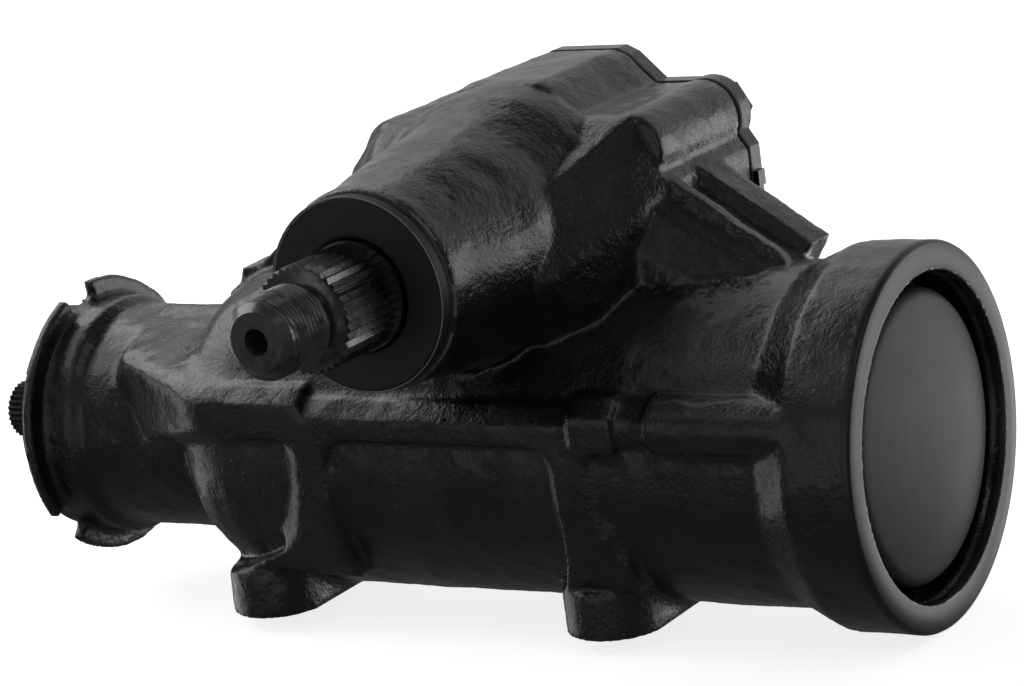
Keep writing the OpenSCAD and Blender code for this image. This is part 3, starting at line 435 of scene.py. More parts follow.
@dataclass(frozen=True)
class Rubber:
    """Matt rubber or fibre with a fine skin.

    Fields:
        name: the material's name.
        colour: colour of the skin.
        bloom: paler colour that it takes with age.
        gloss: roughness of the skin.
    """

    name: str
    colour: Colour
    bloom: Colour
    gloss: float = 0.6

    def material(self) -> bpy.types.Material:
        """Makes the material.

        Returns:
            The finished material.
        """
        tree = ShaderTree(self.name)
        skin = tree.noise(0.8 * MM, 2)
        patches = tree.noise(9 * MM, 4)
        return tree.surface(
            {
                "Base Color": tree.mix(patches.ramp(0.4, 0.75), self.colour, self.bloom),
                "Roughness": self.gloss + 0.15 * patches,
            },
            skin,
            0.06 * MM,
        )


class Bench:
    """Modelling operators, used on one piece at a time."""

    @staticmethod
    def only(piece: bpy.types.Object) -> None:
        """Makes a piece the only selected and active one."""
        bpy.ops.object.select_all(action="DESELECT")
        piece.select_set(True)
        bpy.context.view_layer.objects.active = piece

    @staticmethod
    def copy_of(node: str, name: str) -> bpy.types.Object:
        """Copies a node's mesh into a new piece and merges its loose triangles.

        Args:
            node: the node's name.
            name: the piece's name.

        Returns:
            The new piece.
        """
        piece = bpy.data.objects.new(name, frame["nodes"][node].data.copy())
        piece.data.name = name
        piece.data.materials.clear()
        bpy.context.scene.collection.objects.link(piece)
        Bench.only(piece)
        bpy.ops.object.mode_set(mode="EDIT")
        bpy.ops.mesh.select_all(action="SELECT")
        bpy.ops.mesh.remove_doubles(threshold=0.002 * MM)
        bpy.ops.object.mode_set(mode="OBJECT")
        bpy.ops.mesh.customdata_custom_splitnormals_clear()
        return piece

    @staticmethod
    def turned(
        name: str,
        profile: list[Point],
        along: Along,
        centre: Vector,
        turns: float = 1.0,
        rise: float = 0.0,
        steps: int = 192,
    ) -> bpy.types.Object:
        """Models a piece by turning a closed outline about an axis, or winding it along one.

        Args:
            name: the piece's name.
            profile: radius and place along the axis of each point of the outline, in metres.
            along: the axis that it is turned about.
            centre: where place 0 lies, in metres.
            turns: how many turns it makes.
            rise: how far it climbs along the axis, in metres.
            steps: faces round one turn.

        Returns:
            The new piece.
        """
        bpy.ops.object.select_all(action="DESELECT")
        bpy.ops.mesh.primitive_circle_add(vertices=len(profile), radius=1.0)
        piece = bpy.context.object
        piece.name = piece.data.name = name
        for vertex, (radius, place) in zip(piece.data.vertices, profile):
            vertex.co = (radius, 0.0, place)
        count = int(steps * turns)
        Bench.modify(
            piece,
            "SCREW",
            axis="Z",
            angle=2 * math.pi * turns,
            screw_offset=rise,
            steps=count,
            render_steps=count,
            use_merge_vertices=rise == 0.0,
            merge_threshold=0.001 * MM,
        )
        bpy.ops.object.mode_set(mode="EDIT")
        bpy.ops.mesh.select_all(action="SELECT")
        bpy.ops.mesh.fill_holes(sides=len(profile) + 1)
        bpy.ops.mesh.normals_make_consistent(inside=False)
        bpy.ops.object.mode_set(mode="OBJECT")
        piece.data.transform(Matrix.Translation(centre) @ along.turn())
        return piece

    @staticmethod
    def points(piece: bpy.types.Object) -> np.ndarray:
        """Reads the points of a piece's mesh.

        Args:
            piece: the piece.

        Returns:
            Its points, one row each, in metres.
        """
        flat = np.zeros(len(piece.data.vertices) * 3, np.float32)
        piece.data.vertices.foreach_get("co", flat)
        return flat.reshape(-1, 3).astype(float)

    @staticmethod
    def select(piece: bpy.types.Object, chosen: np.ndarray) -> None:
        """Selects points of a piece and goes into edit mode.

        Args:
            piece: the piece.
            chosen: mask of the points to select.
        """
        bpy.ops.object.mode_set(mode="OBJECT")
        edges, faces = piece.data.edges, piece.data.polygons
        faces.foreach_set("select", np.zeros(len(faces), bool))
        edges.foreach_set("select", np.zeros(len(edges), bool))
        piece.data.vertices.foreach_set("select", chosen)
        bpy.ops.object.mode_set(mode="EDIT")
        bpy.ops.mesh.select_mode(type="VERT")

    @staticmethod
    def modify(piece: bpy.types.Object, kind: str, **settings: Value) -> None:
        """Adds a modifier and applies it.

        Args:
            piece: the piece.
            kind: the modifier's type.
            settings: its properties.
        """
        Bench.only(piece)
        modifier = piece.modifiers.new(kind.title(), kind)
        for key, value in settings.items():
            setattr(modifier, key, value)
        bpy.ops.object.modifier_apply(modifier=modifier.name)

    @staticmethod
    def group(piece: bpy.types.Object, name: str, weights: np.ndarray) -> str:
        """Adds a vertex group, in steps of a tenth.

        Args:
            piece: the piece.
            name: the group's name.
            weights: one weight for each point, from 0 to 1.

        Returns:
            The group's name.
        """
        made = piece.vertex_groups.new(name=name)
        steps = np.rint(weights * 10).astype(int)
        for step in range(1, 11):
            made.add(np.flatnonzero(steps == step).tolist(), step / 10, "REPLACE")
        return name

    @staticmethod
    def smooth_shade(piece: bpy.types.Object, angle: float) -> None:
        """Shades a piece smooth where its faces meet under an angle in degrees."""
        Bench.only(piece)
        bpy.ops.object.shade_smooth_by_angle(angle=math.radians(angle))

    @staticmethod
    def settle(piece: bpy.types.Object, body: Body, slot: Slot, finish: Finish, *nodes: str) -> None:
        """Dresses a piece, seats it on its body and logs it.

        Args:
            piece: the finished piece.
            body: the body that it rides on.
            slot: the record's slot of its finish; not used.
            finish: what it is finished with.
            nodes: the nodes that it stands for.
        """
        piece.data.materials.clear()
        piece.data.materials.append(Finishes.get(finish))
        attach(piece, body.value)
        if nodes:
            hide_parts(*nodes)
        LOG.info("%s: %d faces on %s", piece.name, len(piece.data.polygons), body.value)


class Finishes:
    """Materials that are made once and shared."""

    made: dict[str, bpy.types.Material] = {}

    @classmethod
    def get(cls, finish: Finish) -> bpy.types.Material:
        """Looks up a finish's material, which is made on its first use.

        Args:
            finish: the finish.

        Returns:
            Its material.
        """
        if finish.name not in cls.made:
            cls.made[finish.name] = finish.material()
        return cls.made[finish.name]


def corner(node: str, high: bool) -> np.ndarray:
    """Lowest or highest corner of a node, in metres."""
    return np.array(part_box(node)[1 if high else 0])


def half_width(node: str) -> float:
    """Half of a node's width along X, in metres."""
    return float(corner(node, True)[0] - corner(node, False)[0]) / 2


def joint_place(name: str) -> Vector:
    """Place of a joint, in metres."""
    return Vector(next(j["pos_m"] for j in frame["joints"] if j["name"] == name))


BORE = joint_place("worm_turn")
PITMAN = joint_place("pitman_turn")
HOUSING_LOW, HOUSING_HIGH = corner("gear_housing", False), corner("gear_housing", True)


@dataclass(frozen=True)
class MachinedZone:
    """A bored or faced zone of the casting that keeps its sharp form.

    Fields:
        axis: row axis that the zone lies along.
        centre: a point on its axis, in metres.
        radius: its radius, in metres.
        start: where it starts along its axis.
        end: where it ends along its axis.
    """

    axis: Along
    centre: Vector
    radius: float
    start: float
    end: float

    def holds(self, points: np.ndarray) -> np.ndarray:
        """Finds the points that lie in the zone.

        Args:
            points: points of the casting, one row each.

        Returns:
            Mask of those in the zone.
        """
        along = points[:, self.axis.value]
        across = np.delete(points - np.array(self.centre), self.axis.value, axis=1)
        return (np.hypot(*across.T) < self.radius) & (along > self.start) & (along < self.end)


ZONE_ROOM = 0.7 * MM


def node_zone(node: str, axis: Along, centre: Vector, start: float, end: float) -> MachinedZone:
    """Zone that a round node runs or sits in.

    Args:
        node: the node that sets the radius.
        axis: axis of the zone.
        centre: a point on its axis.
        start: where it starts.
        end: where it ends.

    Returns:
        The zone, a little wider than the node.
    """
    low, high = corner(node, False), corner(node, True)
    across = np.delete(high - low, axis.value)
    return MachinedZone(axis, centre, float(across.max()) / 2 + ZONE_ROOM, start, end)


@dataclass(frozen=True)
class SoftZone:
    """A stretch of the casting whose forms flow into each other.

    Fields:
        low: its lowest corner, in metres.
        high: its highest corner, in metres.
        fade: how far inside its sides it takes full hold, in metres.
    """

    low: Triple
    high: Triple
    fade: float = 6 * MM

    def share(self, points: np.ndarray) -> np.ndarray:
        """How far each point lies in the zone, from 0 at its sides to 1."""
        inside = np.minimum(points - np.array(self.low), np.array(self.high) - points).min(axis=1)
        return np.clip(inside / self.fade, 0.0, 1.0)


@dataclass(frozen=True)
class FlashSeam:
    """A line of rough flash left where the mould met.

    Fields:
        path: its points from the crossing of the bore's and the pitman shaft's planes, in millimetres.
        width: how far it spreads to each side, in metres.
    """

    path: tuple[Triple, ...]
    width: float = 3.2 * MM

    def share(self, points: np.ndarray) -> np.ndarray:
        """Finds how close each point lies to the seam.

        Args:
            points: points of the casting, one row each.

        Returns:
            One share for each point, from 0 away from the seam to 1 on it.
        """
        path = np.array(self.path) * MM + np.array((PITMAN.x, BORE.y, BORE.z))
        nearest = np.full(len(points), np.inf)
        for start, end in zip(path, path[1:]):
            run = end - start
            along = np.clip((points - start) @ run / (run @ run), 0.0, 1.0)
            nearest = np.minimum(nearest, np.linalg.norm(points - start - np.outer(along, run), axis=1))
        return np.clip(1 - nearest / self.width, 0.0, 1.0)


FLASH_SEAMS = (
    FlashSeam(
        ((1, -41, 25), (13, -36, 32), (20, -30, 37.5), (27, -19, 44), (52, -15, 45), (81, -13, 46)),
        width=4.5 * MM,
    ),
    FlashSeam(((54, 0, 65.5), (81.6, 0, 49))),
)


@dataclass
class CastHousing:
    """The iron casting, with soft cast edges, filleted roots and a sandy skin.

    Fields:
        voxel: size of the mesh that the casting is remade with, in metres.
        soften: passes that round the cast edges and roots.
        flow: passes that let the soft zones run together.
        skin: height of the fine sand grain, in metres.
        skin_size: size of that grain, in metres.
        waves: height of the broad unevenness, in metres.
        wave_size: size of that unevenness, in metres.
        flash: height of the rough flash along the seams, in metres.
        flash_size: size of the flash's lumps, in metres.
        faces: largest number of triangles.
        rim: how far the trunk's rim stands out past the dust shield, in metres, where its painted highlight lies.
        hone: how many times its size the piston's bore is opened to, to clear the piston's ring.
        chamber_start: where the sector's chamber starts along Y, in metres.
        sector_room: room round the sector in its chamber, in metres.
        margin: how far a machined zone runs past its ends, in metres.
        smooth: angle under which its faces shade smooth, in degrees.
    """

    voxel: float = 0.8 * MM
    soften: int = 9
    flow: int = 110
    skin: float = 0.22 * MM
    skin_size: float = 1.6 * MM
    waves: float = 0.9 * MM
    wave_size: float = 11 * MM
    flash: float = 3.0 * MM
    flash_size: float = 2.6 * MM
    faces: int = 190000
    rim: float = 1.3 * MM
    hone: float = 1.006
    chamber_start: float = -20.2 * MM
    sector_room: float = 1.7 * MM
    margin: float = 1 * MM
    smooth: float = 55.0

    def piston_zone(self) -> MachinedZone:
        """Bore that the piston runs in."""
        web, seat = corner("lower_thrust_races", True)[0], corner("end_plug", False)[0]
        return node_zone("rack_piston", Along.X, BORE, web - self.margin, seat + self.margin)

    def zones(self) -> list[MachinedZone]:
        """Gathers the machined zones of the casting.

        Returns:
            The zones.
        """
        valve_end = corner("lower_thrust_races", True)[0] + 10 * MM
        seat = corner("end_plug", False)[0] - self.margin
        mouth = corner("end_plug_ring", True)[0] + 40 * MM
        chamber = corner("side_cover_bush", True)[1]
        sector = PITMAN.z - corner("pitman_shaft", False)[2] + self.sector_room
        return [
            self.piston_zone(),
            node_zone("end_plug", Along.X, BORE, seat, mouth),
            node_zone("adjuster_plug", Along.X, BORE, HOUSING_LOW[0] - self.margin, valve_end),
            node_zone("pitman_seals", Along.Y, PITMAN, HOUSING_LOW[1] - self.margin, 0.0),
            MachinedZone(Along.Y, PITMAN, sector, self.chamber_start, chamber),
        ]

    def cast_share(self, points: np.ndarray) -> np.ndarray:
        """Finds how far each point is left as cast.

        Args:
            points: points of the casting, one row each.

        Returns:
            One share for each point, from 0 on machined faces to 1.
        """
        share = np.ones(len(points))
        for zone in self.zones():
            share[zone.holds(points)] = 0.0
        x, y, z = points.T
        faced = (x > HOUSING_HIGH[0] - 2 * self.voxel) | (x < HOUSING_LOW[0] + self.voxel)
        faced |= (y < HOUSING_LOW[1] + self.voxel) | (y > HOUSING_HIGH[1] - self.voxel)
        faced |= np.abs(z) < self.voxel
        share[faced] = np.minimum(share[faced], 0.1)
        return share

    def soft_share(self, points: np.ndarray) -> np.ndarray:
        """Finds how far each point lies in the blended pad and shoulder by the valve case.

        Args:
            points: points of the casting, one row each.

        Returns:
            One share for each point, from 0 to 1.
        """
        face, y, z = HOUSING_LOW[0], BORE.y, BORE.z
        pad = SoftZone(
            low=(face + 24 * MM, y - 60 * MM, z - 10 * MM),
            high=(face + 78 * MM, y - 14 * MM, z + 44 * MM),
        )
        shoulder = SoftZone(
            low=(face + 48 * MM, y - 60 * MM, z - 48 * MM),
            high=(face + 84 * MM, y + 60 * MM, z + 46 * MM),
        )
        return np.maximum(pad.share(points), 0.5 * shoulder.share(points)) * self.cast_share(points)

    def texture(self, name: str, size: float) -> bpy.types.Texture:
        """Makes a cloud texture.

        Args:
            name: the texture's name.
            size: size of its patches, in metres.

        Returns:
            The texture.
        """
        made = bpy.data.textures.new(name, "CLOUDS")
        made.noise_scale = size
        made.noise_depth = 2
        return made

    def build(self) -> bpy.types.Object:
        """Models the casting.

        Returns:
            The piece that stands for the housing.
        """
        piece = Bench.copy_of("gear_housing", "housing_casting")
        Bench.modify(piece, "REMESH", mode="VOXEL", voxel_size=self.voxel, use_smooth_shade=True)
        cast = Bench.group(piece, "cast", self.cast_share(Bench.points(piece)))
        soft = Bench.group(piece, "soft", self.soft_share(Bench.points(piece)))
        Bench.modify(piece, "SMOOTH", factor=0.5, iterations=self.flow, vertex_group=soft)
        Bench.modify(piece, "SMOOTH", factor=0.5, iterations=self.soften, vertex_group=cast)
        seams = np.max([seam.share(Bench.points(piece)) for seam in FLASH_SEAMS], axis=0)
        flash = Bench.group(piece, "flash", seams)
        for name, size, height, level, where in (
            ("flash", self.flash_size, self.flash, 0.35, flash),
            ("waves", self.wave_size, self.waves, 0.5, cast),
            ("skin", self.skin_size, self.skin, 0.5, cast),
        ):
            Bench.modify(
                piece,
                "DISPLACE",
                texture=self.texture(name, size),
                texture_coords="LOCAL",
                strength=height,
                mid_level=level,
                vertex_group=where,
            )
        triangles = 2 * len(piece.data.polygons)
        Bench.modify(piece, "DECIMATE", ratio=min(1.0, self.faces / triangles))
        Bench.select(piece, self.piston_zone().holds(Bench.points(piece)))
        bpy.ops.transform.resize(value=(1, self.hone, self.hone), center_override=BORE)
        bpy.ops.object.mode_set(mode="OBJECT")
        piece.vertex_groups.clear()
        Bench.smooth_shade(piece, self.smooth)
        return piece

    def dress(self, piece: bpy.types.Object) -> None:
        """Paints the casting.

        Args:
            piece: the casting.
        """
        paint = CastPaint(
            "cast_black_paint",
            smooth_from=float(HOUSING_HIGH[0]),
            # The trunk's rim edge gets a painted highlight line at this radius.
            rim=(PITMAN.x, float(HOUSING_LOW[1]), PITMAN.z),
            rim_radius=half_width("dust_shield") + self.rim,
        )
        Bench.settle(piece, Body.HOUSING, Slot.CASTING, paint, "gear_housing")


@dataclass
class PitmanOutput:
    """The pitman shaft with its threaded end.

    Fields:
        thread_length: length of the full thread, in metres.
        pitch: pitch of the thread, in metres.
        depth: depth of the thread, in metres.
        lead_in: plain length at the end of the shaft, before the thread, in metres.
        run_out: how far past the thread the shaft is turned down, in metres.
        reach: how far from the crest a point still counts as on it, in metres.
        sink: how far the ridge's foot lies in the shaft, in metres.
        steps: faces round one turn.
        smooth: angle under which its faces shade smooth, in degrees.
    """

    thread_length: float = 15.0 * MM
    pitch: float = 1.6 * MM
    depth: float = 1.0 * MM
    lead_in: float = 2.5 * MM
    run_out: float = 4 * MM
    reach: float = 0.3 * MM
    sink: float = 0.15 * MM
    steps: int = 64
    smooth: float = 30.0

    def build_shaft(self) -> bpy.types.Object:
        """Models the shaft, with its end turned down to the root of the thread.

        Returns:
            The piece that stands for the shaft.
        """
        piece = Bench.copy_of("pitman_shaft", "output_shaft")
        end = corner("pitman_shaft", False)[1]
        points = Bench.points(piece)
        radius = np.hypot(points[:, 0] - PITMAN.x, points[:, 2] - PITMAN.z)
        crest = self.crest_radius()
        chosen = points[:, 1] < end + self.thread_length + self.run_out
        chosen &= (radius > crest - self.reach) & (radius < crest + self.reach)
        Bench.select(piece, chosen)
        shrink = (crest - self.depth) / crest
        bpy.ops.transform.resize(value=(shrink, 1, shrink), center_override=PITMAN)
        bpy.ops.object.mode_set(mode="OBJECT")
        Bench.smooth_shade(piece, self.smooth)
        return piece

    def crest_radius(self) -> float:
        """Radius of the thread's crests, from its mount."""
        mount = next(m for m in frame["record"]["mounts"] if m["name"] == "pitman_thread")
        return mount["dims"]["r_mm"] * MM

    def build_thread(self) -> bpy.types.Object:
        """Models the thread as one ridge wound round the end of the shaft.

        Returns:
            The thread.
        """
        crest, root = self.crest_radius(), self.crest_radius() - self.depth - self.sink
        half, flat = self.pitch * 0.46, crest - 0.1 * MM
        profile = [(root, -half), (flat, -half * 0.18), (crest, 0.0), (flat, half * 0.18), (root, half)]
        start = Vector((PITMAN.x, corner("pitman_shaft", False)[1] + self.lead_in, PITMAN.z))
        turns = self.thread_length / self.pitch
        piece = Bench.turned("output_thread", profile, Along.Y, start, turns, self.thread_length, self.steps)
        Bench.smooth_shade(piece, self.smooth)
        return piece

    def dress(self, shaft: bpy.types.Object, thread: bpy.types.Object) -> None:
        """Gives the shaft and its thread their oiled steel.

        Args:
            shaft: the shaft.
            thread: its thread.
        """
        steel = Steel("output_oiled_steel", (0.14, 0.14, 0.142), (0.055, 0.054, 0.052), 0.18, 0.5, Along.Y)
        Bench.settle(shaft, Body.PITMAN, Slot.OILED_STEEL, steel, "pitman_shaft")
        Bench.settle(thread, Body.PITMAN, Slot.OILED_STEEL, steel)


SHIELD_SKIN = Rubber("shield_rubber", (0.005, 0.005, 0.0055), (0.010, 0.010, 0.0105), 0.5)


@dataclass
class EndPlug:
    """The pressed, domed plug that closes the bore.

    Fields:
        smooth: angle under which its faces shade smooth, in degrees.
    """

    smooth: float = 30.0

    def build(self) -> bpy.types.Object:
        """Models the plug with its dome drawn smooth.

        Returns:
            The piece that stands for the plug.
        """
        piece = Bench.copy_of("end_plug", "domed_plug")
        Bench.smooth_shade(piece, self.smooth)
        return piece

    def dress(self, piece: bpy.types.Object) -> None:
        """Gives the plug its satin grey."""
        satin = SatinPaint("plug_satin_grey", (0.011, 0.0114, 0.0122), (0.018, 0.0184, 0.0193), 0.47)
        Bench.settle(piece, Body.HOUSING, Slot.GREY_STEEL, satin, "end_plug")


@dataclass
class MachinedRims:
    """Turned rims that frame the end plug and the dust shield.

    Fields:
        collar: outside radius of the collar's face, in metres.
        mouth: radius of the collar's mouth, in metres.
        depth: depth of the mouth, in metres.
        proud: how far the rims stand off the casting, in metres.
        edge: width of the dust shield's steel edge, in metres.
        slack: room between the dust shield's lip and the shaft, in metres.
        neck: how far into the shield the shaft's neck reaches, in metres.
        collar_smooth: angle under which the collar's faces shade smooth, in degrees.
        edge_smooth: the same for the edge.
        lip_smooth: the same for the lip.
    """

    collar: float = 53.2 * MM
    mouth: float = 45.1 * MM
    depth: float = 4.0 * MM
    proud: float = 0.08 * MM
    edge: float = 0.4 * MM
    slack: float = 0.25 * MM
    neck: float = 3.3 * MM
    collar_smooth: float = 35.0
    edge_smooth: float = 60.0
    lip_smooth: float = 50.0

    def build_collar(self) -> bpy.types.Object:
        """Models the machined face of the collar.

        Returns:
            The collar's face.
        """
        out, into = self.collar, self.mouth - self.proud
        profile = [
            (out + self.proud, -2.4 * MM),
            (out + self.proud, -1.1 * MM),
            (out - 0.3 * MM, -0.4 * MM),
            (out - 1.0 * MM, self.proud),
            (into + 0.9 * MM, self.proud),
            (into + 0.3 * MM, -0.1 * MM),
            (into, -0.6 * MM),
            (into, -self.depth),
            (into + 0.6 * MM, -self.depth),
            (into + 1.2 * MM, -1.6 * MM),
            (out - 1.2 * MM, -1.6 * MM),
            (out - 0.6 * MM, -2.4 * MM),
        ]
        centre = Vector((HOUSING_HIGH[0], BORE.y, BORE.z))
        piece = Bench.turned("collar_face", profile, Along.X, centre, steps=256)
        Bench.smooth_shade(piece, self.collar_smooth)
        return piece

    def build_edge(self) -> bpy.types.Object:
        """Models the thin steel edge of the dust shield.

        Returns:
            The edge.
        """
        radius, edge = half_width("dust_shield") + self.proud, self.edge
        profile = [
            (radius, edge),
            (radius, 0.25 * edge),
            (radius - 0.25 * edge, -0.05 * edge),
            (radius - 0.75 * edge, -0.05 * edge),
            (radius - edge, 0.25 * edge),
            (radius - edge, edge),
        ]
        centre = Vector((PITMAN.x, corner("dust_shield", False)[1] - self.proud, PITMAN.z))
        piece = Bench.turned("shield_edge", profile, Along.Y, centre)
        Bench.smooth_shade(piece, self.edge_smooth)
        return piece

    def build_lip(self) -> bpy.types.Object:
        """Models the rubber lip that closes the dust shield on the shaft.

        Returns:
            The lip.
        """
        low, high = corner("dust_shield", False), corner("dust_shield", True)
        bore = self.radii("dust_shield", low[1], high[1]).min()
        shaft = self.radii("pitman_shaft", low[1] - 2 * MM, low[1] + self.neck).max() + self.slack
        profile = [
            (bore + 0.8 * MM, 0.4 * MM),
            (bore + 0.8 * MM, 1.5 * MM),
            (shaft + 0.6 * MM, 2.0 * MM),
            (shaft, 1.6 * MM),
            (shaft, 0.8 * MM),
            (shaft + 0.4 * MM, 0.3 * MM),
            (bore - 0.2 * MM, 0.1 * MM),
        ]
        piece = Bench.turned("shield_lip", profile, Along.Y, Vector((PITMAN.x, low[1], PITMAN.z)))
        Bench.smooth_shade(piece, self.lip_smooth)
        return piece

    @staticmethod
    def radii(node: str, low: float, high: float) -> np.ndarray:
        """Distances from the pitman axis of a node's points between two places along it, in metres."""
        x, y, z = Bench.points(frame["nodes"][node]).T
        return np.hypot(x - PITMAN.x, z - PITMAN.z)[(y >= low) & (y <= high)]

    def dress(self, collar: bpy.types.Object, edge: bpy.types.Object, lip: bpy.types.Object) -> None:
        """Paints the collar's face and gives the shield its lip and its steel edge, whose pale grey is also a
        painted highlight line.

        Args:
            collar: the collar's face.
            edge: the shield's edge.
            lip: the shield's lip.
        """
        paint = SatinPaint("collar_face_paint", (0.0065, 0.0066, 0.007), (0.012, 0.012, 0.0125), 0.30)
        # Steel edge of the shield, painted pale grey so that it also paints the thin highlight line round the
        # shield.
        steel = SatinPaint("shield_edge_steel_and_highlight", (0.12, 0.12, 0.122), (0.24, 0.24, 0.242), 0.34)
        Bench.settle(lip, Body.HOUSING, Slot.SHIELD_RUBBER, SHIELD_SKIN)
        Bench.settle(collar, Body.HOUSING, Slot.CASTING, paint)
        Bench.settle(edge, Body.HOUSING, Slot.SHIELD_RUBBER, steel)


@dataclass(frozen=True)
class NodeDress:
    """Finish of the nodes of one slot that keep their own form.

    Fields:
        slot: the record's slot.
        finish: what those nodes are finished with.
    """

    slot: Slot
    finish: Finish

    def apply(self, shown: list[str]) -> None:
        """Dresses each node of the slot.

        Args:
            shown: names of the nodes that no piece stands for.
        """
        for row in frame["record"]["subparts"]:
            if row["material_slot"] != self.slot.value or row["node"] not in shown:
                continue
            node = frame["nodes"][row["node"]]
            node.data.materials.clear()
            node.data.materials.append(Finishes.get(self.finish))
            LOG.info("%s: finished with %s", row["node"], self.finish.name)


NODE_DRESSES = (
    NodeDress(Slot.CASTING, CastPaint("plug_black_paint")),
    NodeDress(
        Slot.GREY_STEEL,
        SatinPaint("grey_pressing", (0.030, 0.031, 0.033), (0.040, 0.041, 0.043), 0.40),
    ),
    NodeDress(
        Slot.FASTENER,
        SatinPaint("fastener_black", (0.010, 0.010, 0.011), (0.03, 0.03, 0.031), 0.34),
    ),
    NodeDress(
        Slot.OILED_STEEL,
        Steel("input_oiled_steel", (0.03, 0.03, 0.031), (0.012, 0.012, 0.012), 0.36, 0.7),
    ),
    NodeDress(
        Slot.SPRING_STEEL,
        Steel("phosphated_spring_steel", (0.10, 0.10, 0.105), (0.03, 0.03, 0.03), 0.4, 0.6),
    ),
    NodeDress(
        Slot.BEARING_STEEL,
        Steel("ground_bearing_steel", (0.55, 0.56, 0.57), (0.25, 0.24, 0.22), 0.16, 0.25),
    ),
    NodeDress(
        Slot.MACHINED_IRON,
        Steel("machined_iron", (0.30, 0.31, 0.32), (0.12, 0.115, 0.11), 0.34, 0.4),
    ),
    NodeDress(
        Slot.BRONZE,
        Steel("bearing_bronze", (0.60, 0.46, 0.24), (0.28, 0.20, 0.10), 0.28, 0.35, Along.Y),
    ),
    NodeDress(
        Slot.SEAL_RUBBER,
        Rubber("nitrile_rubber", (0.012, 0.012, 0.013), (0.025, 0.025, 0.026), 0.5),
    ),
    NodeDress(Slot.SHIELD_RUBBER, SHIELD_SKIN),
    NodeDress(
        Slot.RING_PLASTIC,
        Rubber("filled_ring_plastic", (0.05, 0.05, 0.048), (0.08, 0.08, 0.075), 0.4),
    ),
    NodeDress(Slot.GASKET, Rubber("pressed_fibre", (0.06, 0.058, 0.052), (0.09, 0.085, 0.075), 0.75)),
)




@dataclass(frozen=True)
class Panel:
    """A lit studio wall or softbox.

    Fields:
        name: the light's name.
        place: its middle, in metres.
        facing: the point that it faces, in metres.
        width: its width, in metres.
        height: its height, in metres.
        glow: how bright its face is.
    """

    name: str
    place: Triple
    facing: Triple
    width: float
    height: float
    glow: float

    def light(self) -> None:
        """Adds the light."""
        bpy.ops.object.light_add(type="AREA", location=self.place)
        lamp = bpy.context.object
        lamp.name = self.name
        lamp.data.shape = "RECTANGLE"
        lamp.data.size = self.width
        lamp.data.size_y = self.height
        lamp.data.energy = self.glow * math.pi * self.width * self.height
        lamp.rotation_euler = (Vector(self.facing) - Vector(self.place)).to_track_quat("-Z", "Y").to_euler()


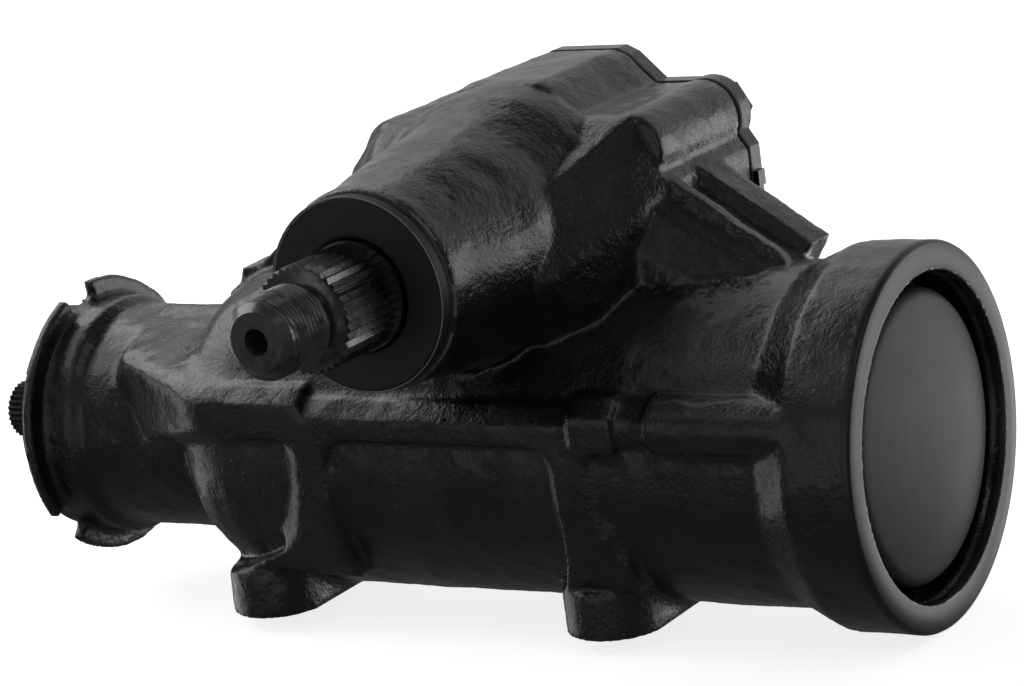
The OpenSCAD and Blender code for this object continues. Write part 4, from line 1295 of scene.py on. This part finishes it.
@dataclass
class Studio:
    """Pale floor, soft light and the camera.

    Fields:
        azimuth: the camera's angle round the gearbox, in degrees.
        elevation: its angle above the horizon, in degrees.
        roll: its turn about its own axis, in degrees.
        target: the point that it looks at, in metres.
        distance: how far it stands from that point, in metres.
        lens: focal length, in millimetres.
        film: width of the camera's frame, in millimetres.
        panels: the lit walls and softboxes.
        room: how bright the rest of the room is.
    """

    azimuth: float = 32.83
    elevation: float = 13.58
    roll: float = -7.6
    target: Vector = Vector((0.0117, 0.0062, 0.0708))
    distance: float = 1.03
    lens: float = 125.54
    film: float = 36.0
    panels: tuple[Panel, ...] = (
        Panel("back_wall", (0.2, 2.2, 0.9), (0.2, 0.0, 0.9), 5.0, 3.6, 0.45),
        Panel("back_right", (1.7, 1.5, -0.1), (0.0, 0.0, -0.1), 1.6, 1.3, 2.2),
        Panel("back_low", (-0.1, 2.0, -0.55), (0.0, 0.0, 0.0), 1.4, 0.7, 1.6),
        Panel("upper_left", (-1.3, 1.2, 2.0), (0.0, 0.0, 0.1), 1.6, 1.4, 0.85),
        Panel("left_wall", (-2.0, 0.1, 1.5), (0.0, 0.0, 0.1), 2.4, 1.7, 1.9),
        Panel("left_low", (-2.4, 0.2, -0.3), (0.0, 0.2, -0.2), 2.0, 1.4, 1.0),
        Panel("right_box", (1.1, -0.6, 1.4), (0.0, 0.0, 0.0), 0.7, 0.7, 1.0),
        Panel("front_top", (-0.5, -1.1, 1.4), (0.0, 0.0, 0.05), 1.4, 0.8, 0.36),
        Panel("front_fill", (0.2, -2.4, 0.3), (0.0, 0.0, 0.2), 3.6, 1.6, 0.42),
    )
    room: float = 0.10

    def camera(self) -> None:
        """Adds the camera at the photograph's angle."""
        azimuth, elevation = math.radians(self.azimuth), math.radians(self.elevation)
        back = Vector((math.sin(azimuth), -math.cos(azimuth), math.tan(elevation))).normalized()
        turn = (-back).to_track_quat("-Z", "Y") @ Quaternion((0, 0, 1), math.radians(self.roll))
        bpy.ops.object.camera_add(location=self.target + back * self.distance, rotation=turn.to_euler())
        camera = bpy.context.object
        camera.data.sensor_width = self.film
        camera.data.lens = self.lens
        camera.data.clip_start = 0.01
        bpy.context.scene.camera = camera

    def floor(self) -> None:
        """Adds the floor under the gearbox."""
        bpy.ops.mesh.primitive_plane_add(size=30, location=(0, 0, CAD_BOX[0].z - 0.05 * MM))
        floor = bpy.context.object
        floor.name = "studio_floor"
        tree = ShaderTree("pale_floor")
        shade = tree.noise(0.4, 2)
        sockets = {
            "Base Color": tree.mix(shade, (0.90, 0.90, 0.90), (0.92, 0.92, 0.92)),
            "Roughness": 0.8,
            "Specular IOR Level": 0.1,
            "Emission Color": (1, 1, 1, 1),
            "Emission Strength": 0.8,
        }
        floor.data.materials.append(tree.surface(sockets, shade, 0.01 * MM))
        floor.visible_glossy = floor.visible_diffuse = floor.visible_shadow = False

    def build(self) -> None:
        """Sets up the light, the floor and the camera."""
        world = bpy.data.worlds.new("soft_room")
        world.use_nodes = True
        world.node_tree.nodes["Background"].inputs["Color"].default_value = (1, 1, 1, 1)
        world.node_tree.nodes["Background"].inputs["Strength"].default_value = self.room
        bpy.context.scene.world = world
        bpy.context.scene.view_settings.view_transform = "Standard"
        for panel in self.panels:
            panel.light()
        self.floor()
        self.camera()
        LOG.info("studio: %d lights", len(self.panels))


def main() -> None:
    """Builds the gearbox's looks in order."""
    logging.basicConfig(level=logging.INFO, format="%(name)s: %(message)s")
    Studio().build()
    housing = CastHousing()
    housing.dress(housing.build())
    output = PitmanOutput()
    output.dress(output.build_shaft(), output.build_thread())
    rims = MachinedRims()
    rims.dress(rims.build_collar(), rims.build_edge(), rims.build_lip())
    plug = EndPlug()
    plug.dress(plug.build())
    shown = [name for name, node in frame["nodes"].items() if not node.hide_render]
    for dress in NODE_DRESSES:
        dress.apply(shown)


if __name__ == "__main__":
    main()
